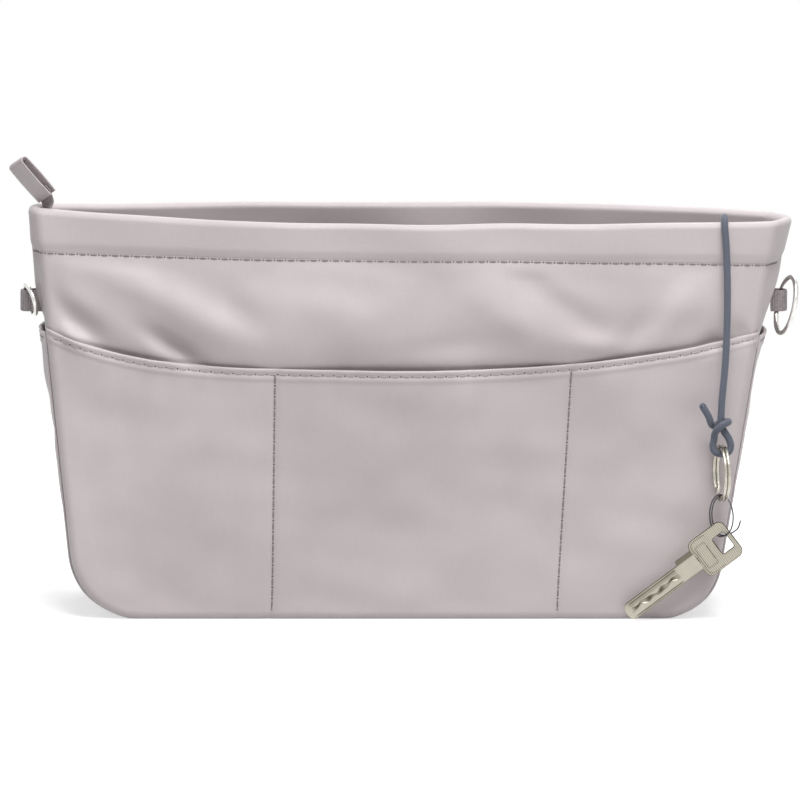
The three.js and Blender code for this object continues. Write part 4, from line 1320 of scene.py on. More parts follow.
    def inner_pocket(self, face: Face) -> None:
        """The slip pocket on the inside of one wall.

        Args:
            face: Front or back.
        """
        name = face.name.lower()
        reach, low, top = self.slip_reach, self.slip_low, self.slip_top
        u = self.facing(face, crowded(-reach, reach, 120, [-reach, reach], 0.03, 3))[None, :]
        drop = np.concatenate([np.linspace(top - low, self.hem_rows, 40)[:-1], self.near_hem(18)])[:, None]
        z = top - drop
        thick, dip = self.hem(drop, self.lining_cloth)
        held = ease(0, 0.12, reach - np.abs(u)) * (1 - bell(u, 0.05))
        seed = Seed.SLIP_POCKET + face.value
        drift = self.slip_drift * held * soft_noise(u * self.slip_half_width, z, self.slip_drift_wave, seed)
        middle = self.slip_seat + (self.slip_pouch * held * ease(low, top, z) + drift)
        outer = self.form.wall(face, u, z, middle - thick / 2, self.lining_inset)
        inner = self.form.wall(face, u, z, middle + thick / 2 - dip, self.lining_inset)
        pocket = put_sheet(f"inner_{name}_pocket_cloth", outer, inner, outer[..., [0, 2]])
        self.finishes.dress(pocket, "bag", "lining", f"inner_{name}_pocket")

    def side_strip(self, inset: float) -> tuple[Array, Array]:
        """Outer points and pattern coordinates of the strip down one side, under the base and up the other.

        Args:
            inset: Distance in from the outline.

        Returns:
            Grid of points, along by across by 3, and its pattern coordinates.
        """
        form = self.form
        left, right = (form.strip_path(side, inset, 0, self.stack_top, 90) for side in (LEFT, RIGHT))
        base = np.linspace(left[0][0], right[0][0], 60)[1:-1]
        x = np.concatenate([left[0][::-1], base, right[0]])[:, None]
        z = np.concatenate([left[1][::-1], np.full(base.shape, inset), right[1]])[:, None]
        w = crowded(-1, 1, 44, [-1, 1], 0.1, 2)[None, :]
        sign = np.where(x < 0, -1, 1)
        half = np.where(x < 0, form.edge_half(LEFT, z), form.edge_half(RIGHT, z))
        half = half - inset - form.seam_radius(inset)
        bow = np.where(x < 0, form.bulge(LEFT, z, w), form.bulge(RIGHT, z, w))
        drop = np.where(x < 0, form.side_sag(LEFT, z), form.side_sag(RIGHT, z))
        run = np.concatenate([[0], np.cumsum(np.hypot(np.diff(x[:, 0]), np.diff(z[:, 0])))])[:, None]
        noise = soft_noise(run, w * form.base_half, self.strip_rumple_wave, Seed.STRIP)
        rumple = self.strip_rumple * noise * (1 - w**4) * ease(*self.strip_rumple_from, z)
        tuck = self.strip_tuck * bell((1 - np.abs(w)) * half, self.strip_tuck_width)
        tuck = tuck * ease(*self.strip_tuck_from, z)
        points = grid(x + sign * (bow + rumple - tuck), w * half, z - drop)
        run, across = np.broadcast_arrays(run, w * half)
        return points, np.stack([across, run], -1)

    def gusset(self) -> None:
        """The outer side strip and its lining."""
        points, uv = self.side_strip(0)
        strip = self.skin("gusset_cloth", points, self.cloth, uv)
        self.finishes.dress(strip, "bag", "nylon", "gusset")
        points, uv = self.side_strip(self.gusset_lining_inset)
        lining = self.skin("gusset_lining_cloth", points, self.lining_cloth, uv)
        self.finishes.dress(lining, "bag", "lining", "gusset_lining")

    def side_pocket(self, name: str, side: Side) -> None:
        """The pocket on one side strip, flared at its hemmed edge.

        Args:
            name: Name of the node that it stands for.
            side: The side.
        """
        x, z = self.form.strip_path(side, 0, self.side_start, self.side_top, 90)
        length = np.concatenate([[0], np.cumsum(np.hypot(np.diff(x), np.diff(z)))])
        drop = np.concatenate([np.linspace(length[-1], self.hem_rows, 50)[:-1], self.near_hem(18)])
        x = np.interp(length[-1] - drop, length, x)[:, None]
        z = np.interp(length[-1] - drop, length, z)[:, None]
        w = crowded(-1, 1, 40, [-1, 1], 0.1, 2)[None, :]
        half = self.form.edge_half(side, z) - self.form.seam_round
        lean = np.arctan2(np.gradient(z[:, 0]), side.sign * np.gradient(x[:, 0]))[:, None]
        thick, dip = self.hem(drop[:, None], self.cloth)
        bulge = self.form.bulge(side, z, w) + side.flare * (z / self.side_top) ** 2 * (1 - w * w)
        seed = Seed.SIDE_POCKET + side.sign
        noise = soft_noise(z, w * self.side_half_width, self.side_ripple_wave, seed)
        seat = (0.5 + 0.65 * ease(0, self.side_foot, length[-1] - drop[:, None])) * MM
        middle = seat + bulge + self.side_ripple * (1 - w**4) * noise

        def at(out: Array) -> Array:
            moved_x = x + side.sign * out * np.sin(lean)
            moved_z = z - out * np.cos(lean) - self.form.side_sag(side, z)
            return grid(moved_x, w * half, moved_z)

        outer, inner = at(middle + thick / 2 - dip), at(middle - thick / 2)
        pattern = grid(w * half, drop[:, None])
        pocket = put_sheet(f"{name}_cloth", outer, inner, pattern)
        self.finishes.dress(pocket, "bag", "nylon", name)
        row = int(np.argmin(np.abs(drop - self.hem_stitch)))
        self.hem_work.row(outer[row, 1:-1], grid_normals(outer, self.form.inside)[row, 1:-1])

    def mouth_ring(self, z: Array, depth: Array) -> Array:
        """Closed rings round the mouth: front wall, right end, back wall, left end.

        Args:
            z: Heights, one for each ring.
            depth: Depths in from the outer face, one for each ring.

        Returns:
            Points, rings by places by 3.
        """
        z, depth = z[:, None], depth[:, None]
        u = self.column_shares()[None, :]
        right = np.linspace(-1, 1, 34)[None, 1:-1]
        left = np.linspace(-1, 1, 22)[None, 1:-1]
        wall = z - self.form.hem_drop(u, z, depth)
        return np.concatenate([
            self.form.wall(Face.FRONT, u, wall, depth, depth),
            self.form.side_end(RIGHT, right, z - self.form.hem_drop(np.array(1.0), z, depth), depth),
            self.form.wall(Face.BACK, u[:, ::-1], wall[:, ::-1], depth, depth),
            self.form.side_end(LEFT, left[:, ::-1], z - self.form.hem_drop(np.array(-1.0), z, depth), depth),
        ], axis=1)

    def rim_profile(self) -> tuple[Array, Array]:
        """Depth and height round the rim's section: outer leg, roll, inner leg, and the hollow between them.

        Returns:
            Depths and heights, in metres, once round.
        """
        foot, line, roll, middle, top = 152.4, 153.6, 2.7, 1.6, 167.3
        rise = crowded(foot, top, 30, [line], 1.0, 6)
        puff = ease(line, line + 4.5, rise)
        dip = bell(rise - line, 0.7)
        outer = -0.2 - 0.9 * puff + 0.35 * dip + 0.7 * (1 - ease(foot, line - 0.5, rise))
        inner = 3.75 + 0.55 * puff - 0.3 * dip
        angle = np.linspace(np.pi, 0, 18)[1:-1]
        legs = np.linspace(foot + 0.1, top, 6)
        hollow = [0 * legs + 3.45, 0 * legs + 0.05]
        depth = np.concatenate([outer, middle + roll * np.cos(angle), inner[::-1], *hollow])
        height = np.concatenate([rise, top + roll * np.sin(angle), rise[::-1], legs, legs[::-1]])
        return depth * MM, height * MM

    def rim(self) -> None:
        """The rolled rim band with its stitch row, one closed profile carried round the mouth."""
        depth, height = self.rim_profile()
        points = self.mouth_ring(height, depth)
        run = np.linalg.norm(np.diff(points, axis=1, append=points[:, :1]), axis=-1)
        along = np.cumsum(run[:1], axis=1) + 0 * points[..., 0]
        wave = self.rim_wave * soft_noise(points[..., 0], points[..., 1], self.rim_wave_length, Seed.RIM)
        points[..., 2] += wave * ease(*self.rim_wave_from, points[..., 2])
        girth = np.cumsum(np.hypot(np.diff(depth, prepend=depth[:1]), np.diff(height, prepend=height[:1])))
        uv = grid(along, girth[:, None])
        band = put_ring("rim_band_cloth", np.swapaxes(points, 0, 1), np.swapaxes(uv, 0, 1))
        self.finishes.dress(band, "bag", "nylon", "rim_band")
        line = int(np.argmin(np.abs(height[:30] - self.form.hem_line)))
        ring = np.concatenate([points[line], points[line, :1]])
        along_ring = np.gradient(ring, axis=0)
        self.work.row(ring, unit(np.cross(along_ring, np.array([0, 0, 1.0]))))

    def base(self) -> None:
        """The covered base board: a flat rounded slab, superellipse in plan, with a soft edge."""
        middle, half = box_middle("base_board")
        turn = full_turn(160)[None, :]
        edge = np.linspace(-np.pi / 2, np.pi / 2, 14)[:, None]
        side = 1 - (half[2] / half[0]) * (1 - np.cos(edge))
        reach = np.concatenate([[[0.0], [0.5]], side, [[0.5], [0.0]]])
        lift = np.concatenate([[[-1.0], [-1.0]], np.sin(edge), [[1.0], [1.0]]])
        x, y = (signed_power(wave(turn), self.board_power) for wave in (np.cos, np.sin))
        points = grid(x * reach * half[0], y * reach * half[1], lift * half[2]) + middle
        board = put_ring("base_board_cover", points, points[..., :2], wrap_rows=False)
        self.finishes.dress(board, "bag", "board", "base_board")

    def build(self) -> None:
        """Builds every piece of the shell."""
        for face in Face:
            self.walls(face)
            self.outer_pocket(face)
            self.inner_pocket(face)
        self.gusset()
        self.side_pocket("left_side_pocket", LEFT)
        self.side_pocket("right_side_pocket", RIGHT)
        self.rim()
        self.base()


def turned_y(points: Array, angle: float) -> Array:
    """Points turned about the Y axis through the origin."""
    x, y, z = np.moveaxis(points, -1, 0)
    cos, sin = math.cos(angle), math.sin(angle)
    return np.stack([x * cos + z * sin, y, z * cos - x * sin], -1)


def turned_z(points: Array, angle: float) -> Array:
    """Points turned about the Z axis through the origin."""
    x, y, z = np.moveaxis(points, -1, 0)
    cos, sin = math.cos(angle), math.sin(angle)
    return np.stack([x * cos - y * sin, x * sin + y * cos, z], -1)


def pillow(rows: int, columns: int, fall: float, powers: Triple) -> Array:
    """A unit superellipsoid with its poles on Z: x, y and z are sines and cosines to given powers.

    Args:
        rows: Rows from pole to pole.
        columns: Points round each row.
        fall: Power of the rows' size, the cosine of their height's angle.
        powers: Powers of x, y and z.

    Returns:
        Points, rows by columns by 3.
    """
    rise = np.linspace(-np.pi / 2, np.pi / 2, rows)[:, None]
    turn = full_turn(columns)[None, :]
    ring = np.cos(rise) ** fall
    ring[[0, -1]] = 0
    x, y = signed_power(np.cos(turn), powers[0]) * ring, signed_power(np.sin(turn), powers[1]) * ring
    return grid(x, y, signed_power(np.sin(rise), powers[2]))


def hairpin(start: float, reach: float, half: float) -> Array:
    """Middle line of a strip folded double: out along +X at -half, round a half circle, back at +half."""
    turn = reach - half
    leg = np.linspace(start, turn, 24)[:-1]
    angle = np.linspace(-np.pi / 2, np.pi / 2, 25)
    x = np.concatenate([leg, turn + half * np.cos(angle), leg[::-1]])
    y = np.concatenate([0 * leg - half, half * np.sin(angle), 0 * leg + half])
    return np.stack([x, y, 0 * x], -1)


def strip_grid(path: Array, across: Array, width: float | Array, thick: float) -> tuple[Array, Array]:
    """A flat strip with soft edges: a superellipse carried along a path, drawn to a point at both ends.

    Args:
        path: Points of its middle line, count by 3.
        across: Unit vector of its width, or one for each point.
        width: Its width, or one for each point.
        thick: Its thickness.

    Returns:
        Grid of points, along by round by 3, and its pattern coordinates.
    """
    across = np.broadcast_to(across, path.shape)
    normal = unit(np.cross(unit(np.gradient(path, axis=0)), across))
    run = run_along(path)
    width = np.broadcast_to(width, len(path)).astype(float)
    angle = full_turn(36)
    side = signed_power(np.cos(angle), 0.25)
    lift = signed_power(np.sin(angle), 0.6)
    full = np.ones(len(path))
    full[[0, -1]] = 0
    path[0], path[-1] = path[1] - (path[2] - path[1]) * 0.02, path[-2] + (path[-2] - path[-3]) * 0.02
    reach = (width / 2 * full)[:, None] * side
    rise = thick / 2 * full[:, None] * lift
    points = path[:, None] + reach[..., None] * across[:, None] + rise[..., None] * normal[:, None]
    return points, grid(reach, run[:, None])


@dataclass
class Hardware:
    """The webbing loop on each side, the small D-ring at the left and the round ring at the right."""

    form: Form
    finishes: Finishes
    height: float = 130 * MM
    webbing: float = 0.8 * MM
    width: float = 9 * MM
    half_gap: float = 2.8 * MM
    seat: float = 0.3 * MM
    left_reach: float = 8.5 * MM
    right_reach: float = 6 * MM
    bar: float = 13 * MM
    bulge: float = 10 * MM
    d_wire: float = 1.0 * MM
    o_wire: float = 1.1 * MM
    o_radius: float = 12 * MM
    d_tilt: float = math.radians(15)
    d_turn: float = math.radians(15)
    o_tilt: float = math.radians(13)
    o_turn: float = math.radians(75)

    def loop_base(self, side: Side) -> float:
        """X where a loop leaves the side strip."""
        top = np.array(self.height + self.width / 2)
        sewn = top + self.form.side_sag(side, top) + self.seat
        return float(self.form.edge(side, sewn)) + side.sign * float(self.form.bow(side, sewn) + self.seat)

    def loop(self, name: str, side: Side, reach: float) -> None:
        """A webbing strip folded round its ring.

        Args:
            name: Name of the node that it stands for.
            side: The side.
            reach: How far it stands out.
        """
        path = hairpin(-1.2 * MM, reach - self.webbing / 2, self.half_gap + self.webbing / 2)
        path[:, 0] = self.loop_base(side) + side.sign * path[:, 0]
        path[:, 2] = self.height
        points, uv = strip_grid(path, np.array([0, 0, 1.0]), self.width, self.webbing * 1.1)
        piece = put_ring(f"{name}_webbing", points, uv, wrap_rows=False)
        self.finishes.dress(piece, "bag", "webbing", name)

    def tunnel(self, side: Side, reach: float) -> Array:
        """Middle of a loop's fold, where its ring runs through."""
        out = reach - self.webbing - self.half_gap
        return np.array([self.loop_base(side) + side.sign * out, 0, self.height])

    def d_ring(self) -> None:
        """The left ring: a straight bar and a half ellipse, with eased corners."""
        angle = np.linspace(np.pi / 2, -np.pi / 2, 27)
        bow = np.stack([0 * angle, -self.bulge * np.cos(angle), self.bar / 2 * np.sin(angle)], -1)
        rise = np.linspace(-self.bar / 2, self.bar / 2, 8)[1:-1]
        bar = np.stack([0 * rise, 0 * rise, rise], -1)
        path = smooth_path(np.concatenate([bow[1:-1], bar]), 140, closed=True)
        path = turned_y(turned_z(path, self.d_turn), -self.d_tilt) + self.tunnel(LEFT, self.left_reach)
        ring = put_tube("left_d_ring_wire", path, self.d_wire, 16, closed=True)
        self.finishes.dress(ring, "left_ring", "nickel", "left_d_ring")

    def o_ring(self) -> None:
        """The right ring, a circle that hangs in its loop."""
        angle = full_turn(140)
        path = self.o_radius * np.stack([0 * angle, np.cos(angle) - 1, np.sin(angle)], -1)
        path = turned_y(turned_z(path, math.pi / 2 - self.o_turn), self.o_tilt)
        path = path + self.tunnel(RIGHT, self.right_reach)
        ring = put_tube("right_o_ring_wire", path, self.o_wire, 18, closed=True)
        self.finishes.dress(ring, "right_ring", "nickel", "right_o_ring")

    def build(self) -> None:
        """Builds both loops and both rings."""
        self.loop("left_strap_loop", LEFT, self.left_reach)
        self.loop("right_strap_loop", RIGHT, self.right_reach)
        self.d_ring()
        self.o_ring()


@dataclass
class Zip:
    """The zip inside the mouth: two tapes with teeth, slider, pull, and the end tab at the left corner."""

    form: Form
    finishes: Finishes
    top: float = 152.7 * MM
    drop: float = 15 * MM
    first: float = -0.97
    last: float = 0.78
    depth: float = 4.4 * MM
    tape: float = 0.6 * MM
    tape_length: float = 272 * MM
    meet_half: float = 2.5 * MM
    meet: Pair = (0.7, 0.9)
    tooth_pitch: float = 1.9 * MM
    tooth: Triple = (0.62 * MM, 0.8 * MM, 1.35 * MM)
    pivot: Triple = (-145.91 * MM, 0.0, 173.2 * MM)
    tab_length: float = 21 * MM
    tab_width: float = 11 * MM
    tab_lean: float = math.radians(-41)
    tab_turn: float = math.radians(40)
    tab_half: float = 1.5 * MM
    tab_cloth: float = 0.85 * MM
    tab_swell: float = 0.35 * MM
    tail_inset: float = 5.2 * MM
    tail_low: float = 150 * MM
    tail_high: float = 170 * MM
    tail_bend: float = 3 * MM
    tail_bend_from: Pair = (162 * MM, 173 * MM)
    tail_turn_from: Pair = (163 * MM, 171 * MM)
    tail_reach: float = 6 * MM
    tail_width: float = 7 * MM
    tail_spread: float = 2.5 * MM
    metal_edge: float = 0.22 * MM
    metal_weld: float = 0.01 * MM

    def foot_depth(self, u: Array) -> Array:
        """Depth of a tape's lower edge: by the wall, but drawn to the middle at the slider."""
        meeting = ease(*self.meet, -u)
        middle = self.form.half(u, np.array(self.top - self.drop)) - self.meet_half
        return self.depth + (middle - self.depth) * meeting

    def side(self, face: Face) -> None:
        """One tape and its row of teeth.

        Args:
            face: Front or back.
        """
        name = face.name.lower()
        u = Shell.facing(face, np.linspace(self.first, self.last, 150))[None, :]
        fall = np.linspace(0, 1, 16)[:, None]
        depth = self.depth + (self.foot_depth(u) - self.depth) * fall
        z = self.top - self.drop * fall
        outer = self.form.wall(face, u, z, depth, self.depth)
        inner = self.form.wall(face, u, z, depth + self.tape, self.depth)
        tape = put_sheet(f"zip_tape_{name}_cloth", outer, inner, outer[..., [0, 2]])
        self.finishes.dress(tape, "bag", "tape", f"zip_tape_{name}")
        count = int(self.tape_length / self.tooth_pitch)
        shift = 0.25 if face is Face.FRONT else 0.75
        place = self.first + (self.last - self.first) * (np.arange(count) + shift) / count
        low = np.array(self.top - self.drop - self.tooth[2])
        middle = self.form.wall(face, place, low, self.foot_depth(place) + self.tooth[1], self.depth)
        along = unit(np.gradient(middle, axis=0))
        up = np.array([0, 0, 1.0])
        inward = np.cross(along, up)
        tooth = pillow(6, 8, 0.5, (0.6, 0.6, 1.0)) * np.array(self.tooth)
        axes = np.stack([along, inward, np.broadcast_to(up, along.shape)], 1)
        arcs = middle[:, None, None] + np.einsum("rca,nad->nrcd", tooth, axes)
        teeth = Needlework.gather(f"zip_teeth_{name}_row", [arcs])
        self.finishes.dress(teeth, "bag", "nickel", f"zip_teeth_{name}")

    def metal(self) -> None:
        """Softens the edges of slider and pull, and plates them."""
        for name in ("zip_slider", "zip_pull"):
            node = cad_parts[name]
            weld = node.modifiers.new("weld", "WELD")
            weld.merge_threshold = self.metal_weld
            bevel = node.modifiers.new("bevel", "BEVEL")
            bevel.width = self.metal_edge
            bevel.segments = 2
            bevel.limit_method = "ANGLE"
            node.data.materials.clear()
            node.data.materials.append(self.finishes.materials["nickel"])

    def tab(self) -> None:
        """The end tab, a strip folded double, which is sewn to the tape's tail."""
        path = hairpin(0.2 * MM, self.tab_length - 0.4 * MM, self.tab_half)
        local = np.stack([-path[:, 1], 0 * path[:, 0], path[:, 0]], -1)
        swell = self.tab_swell * np.sin(np.pi * np.clip(path[:, 0] / self.tab_length, 0, 1))
        local[:, 0] += np.sign(local[:, 0]) * swell
        points, uv = strip_grid(local, np.array([0, 1.0, 0]), self.tab_width, self.tab_cloth)
        points = turned_y(turned_z(points, self.tab_turn), self.tab_lean) + np.array(self.pivot)
        tab = put_ring("zip_end_tab_cloth", points, uv, wrap_rows=False)
        self.finishes.dress(tab, "end_tab", "nylon", "zip_end_tab")

    def tail(self) -> None:
        """The tape's tail, up the inside of the left corner and into the tab."""
        z = np.linspace(self.tail_low, self.tail_high, 24)
        bend = self.tail_bend * ease(*self.tail_bend_from, z)
        x = self.form.edge(LEFT, z, self.tail_inset) - self.form.bulge(LEFT, z, np.array(0.0)) + bend
        rise = np.linspace(0.4, 1, 12) * self.tail_reach
        lean = np.stack([rise * math.sin(self.tab_lean), 0 * rise, rise * math.cos(self.tab_lean)], -1)
        path = np.concatenate([np.stack([x, 0 * x, z], -1), np.array(self.pivot) + lean])
        path = smooth_path(path, 50)
        level = np.array([[0, 1.0, 0]])
        turned = turned_y(turned_z(level, self.tab_turn), self.tab_lean)
        share = ease(*self.tail_turn_from, path[:, 2:])
        across = unit(level + (turned - level) * share)
        points, uv = strip_grid(path, across, self.tail_width + self.tail_spread * share[:, 0], self.tape)
        tail = put_ring("zip_tail_tape", points, uv, wrap_rows=False)
        self.finishes.dress(tail, None, "tape", "zip_tail")
        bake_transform(tail)

    def build(self) -> None:
        """Builds the zip."""
        for face in Face:
            self.side(face)
        self.metal()
        self.tail()
        self.tab()


CORD_ROUTE = np.array([
    [139, -16.9, 148.5], [139, -16.6, 150.9], [139, -16, 154.7], [139, -15.5, 158.4],
    [138.9, -15, 162.1], [138.8, -15, 165.2], [138.8, -17.1, 167], [138.7, -19.6, 167.8],
    [138.7, -22.5, 168], [138.7, -24.6, 167.2], [138.7, -25.6, 166.4], [138.8, -26.8, 163.9],
    [139.2, -27.9, 159.3], [139.6, -29.7, 151.4], [139.8, -32.1, 142], [139.8, -34.5, 132.4],
    [139.6, -36.8, 122.8], [139.2, -39.2, 113.1], [138.5, -41.4, 103.8], [137.5, -43.9, 93.9],
    [137.2, -44.9, 88.8],
]) * MM
KNOT_ROUTE = np.array([
    [137.1, -46, 83.6], [138.3, -46.5, 80.6], [140.4, -47, 77.4], [141.2, -47.5, 74.3],
    [140.1, -47.9, 71.9], [137.4, -48, 71.1], [134.7, -47.9, 71.9], [133.6, -47.5, 74.3],
    [134.1, -47.2, 77.2], [134.4, -47.9, 79.6], [135.4, -49.3, 81.6], [137.7, -49.7, 83.6],
    [140.1, -47.6, 84.6], [139.7, -44.2, 84.4], [137, -42.9, 83.6], [134.1, -44.2, 82.6],
    [132.9, -46.9, 83.9], [131.9, -47.4, 86.8], [129.4, -47.5, 91.2],
]) * MM
RING_CURL = np.array([[7.9, -0.9, -2.2], [6.7, -0.8, -5.4], [3.6, -0.6, -7.6]]) * MM


@dataclass
class Leash:
    """The key leash: sewn anchor, elastic cord over the rim, overhand knot, split ring and wire ring."""

    finishes: Finishes
    anchor_fit: Triple = (0.96, 0.8, 0.98)
    cord: float = 3 * MM
    cord_pivot: Triple = (138.7 * MM, -24.6 * MM, 167.2 * MM)
    cord_bend: float = 2 * MM
    split_centre: Triple = (137.4 * MM, -48 * MM, 63 * MM)
    split_radius: float = 11.3 * MM
    split_wire: float = 0.7 * MM
    split_spacing: float = 1.5 * MM
    split_turns: float = 1.94
    split_start: float = math.radians(-38)
    split_turn: float = math.radians(12)
    ring_half_width: float = 7.5 * MM
    ring_foot: float = 36 * MM
    ring_top: float = 54 * MM
    ring_wire: float = 0.3 * MM
    ring_turn: float = math.radians(-50)
    ring_turns: float = 1.52
    ring_spread: float = 0.9 * MM
    ring_shrink: float = 0.05

    def cord_piece(self, pieces: list[Piece]) -> None:
        """The cord from its anchor to its cut end, in one tube.

        Args:
            pieces: The rings that hang on it; not used.
        """
        path = smooth_path(np.concatenate([CORD_ROUTE, KNOT_ROUTE]), 460)
        cord = put_tube("leash_cord_braid", path, self.cord / 2, 14)
        nodes = ("leash_cord_inside", "leash_cord", "leash_knot", "leash_loop", "leash_tail")
        self.finishes.dress(cord, None, "cord", *nodes)
        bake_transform(cord)

    def anchor(self) -> None:
        """The folded tab that holds the cord's end to the lining: a soft pillow in its solid's box."""
        middle, half = box_middle("leash_anchor")
        half = half * np.array(self.anchor_fit)
        points = pillow(24, 48, 0.3, (0.35, 0.6, 0.5))
        points[..., 1] *= 0.75 - 0.25 * signed_power(points[..., 2], 2)
        points = points * half + middle
        piece = put_ring("leash_anchor_tab", points, points[..., [0, 2]], wrap_rows=False)
        self.finishes.dress(piece, "bag", "lining", "leash_anchor")

    def split_ring(self) -> Piece:
        """The split ring: nearly two turns side by side, stepping over where one turn runs alone."""
        turns = np.linspace(0, self.split_turns, 260)
        angle = 2 * np.pi * turns + self.split_start
        step = self.split_spacing * (ease(self.split_turns - 1, 1, turns) - 0.5)
        path = np.stack([step, self.split_radius * np.cos(angle), self.split_radius * np.sin(angle)], -1)
        path = turned_z(path, self.split_turn) + np.array(self.split_centre)
        ring = put_tube("key_split_ring_wire", path, self.split_wire, 14)
        return self.finishes.dress(ring, "split_ring", "key_metal", "key_split_ring")

    def wire_ring(self) -> Piece:
        """The thin ring: one and a half turns of an ellipse, with a free end that curls away."""
        half = (self.ring_top - self.ring_foot) / 2
        turns = np.linspace(0, self.ring_turns, 90)
        angle = -np.pi / 2 - 2 * np.pi * turns
        grow = 1 - self.ring_shrink * turns
        x, z = self.ring_half_width * grow * np.cos(angle), half * grow * np.sin(angle)
        ring = np.stack([x, self.ring_spread * (turns - 0.6), z], -1)
        middle = np.array([self.split_centre[0], self.split_centre[1], (self.ring_top + self.ring_foot) / 2])
        path = smooth_path(np.concatenate([RING_CURL, turned_z(ring, self.ring_turn)]), 260) + middle
        piece = put_tube("key_wire_ring_wire", path, self.ring_wire, 10)
        return self.finishes.dress(piece, "wire_ring", "dark_wire", "key_wire_ring")

    def build(self) -> None:
        """Builds the leash."""
        self.cord_piece([self.split_ring(), self.wire_ring()])
        self.anchor()


def box_outline(half: Pair, radius: float, centre: float) -> Array:
    """Points of a rounded rectangle: four quarter circles, joined by its straight sides."""
    turn = np.linspace(0, np.pi / 2, 16)
    corners = []
    for quarter, (right, up) in enumerate([(1, 1), (-1, 1), (-1, -1), (1, -1)]):
        angle = turn + quarter * np.pi / 2
        x = centre + right * (half[0] - radius) + radius * np.cos(angle)
        corners.append(np.stack([x, up * (half[1] - radius) + radius * np.sin(angle)], -1))
    points = np.concatenate(corners)
    closed = np.concatenate([points, points[:1]])
    run = run_along(closed)
    place = np.linspace(0, run[-1], 800, endpoint=False)
    return sample(place, run, closed)


def outline_reach(outline: Array, centre: float, angle: Array) -> Array:
    """Distance from a point on the X axis to an outline round it, along each angle."""
    right, up = outline[:, 0] - centre, outline[:, 1]
    bearing = np.mod(np.arctan2(up, right), 2 * np.pi)
    order = np.argsort(bearing)
    return np.interp(np.mod(angle, 2 * np.pi), bearing[order], np.hypot(right, up)[order], period=2 * np.pi)


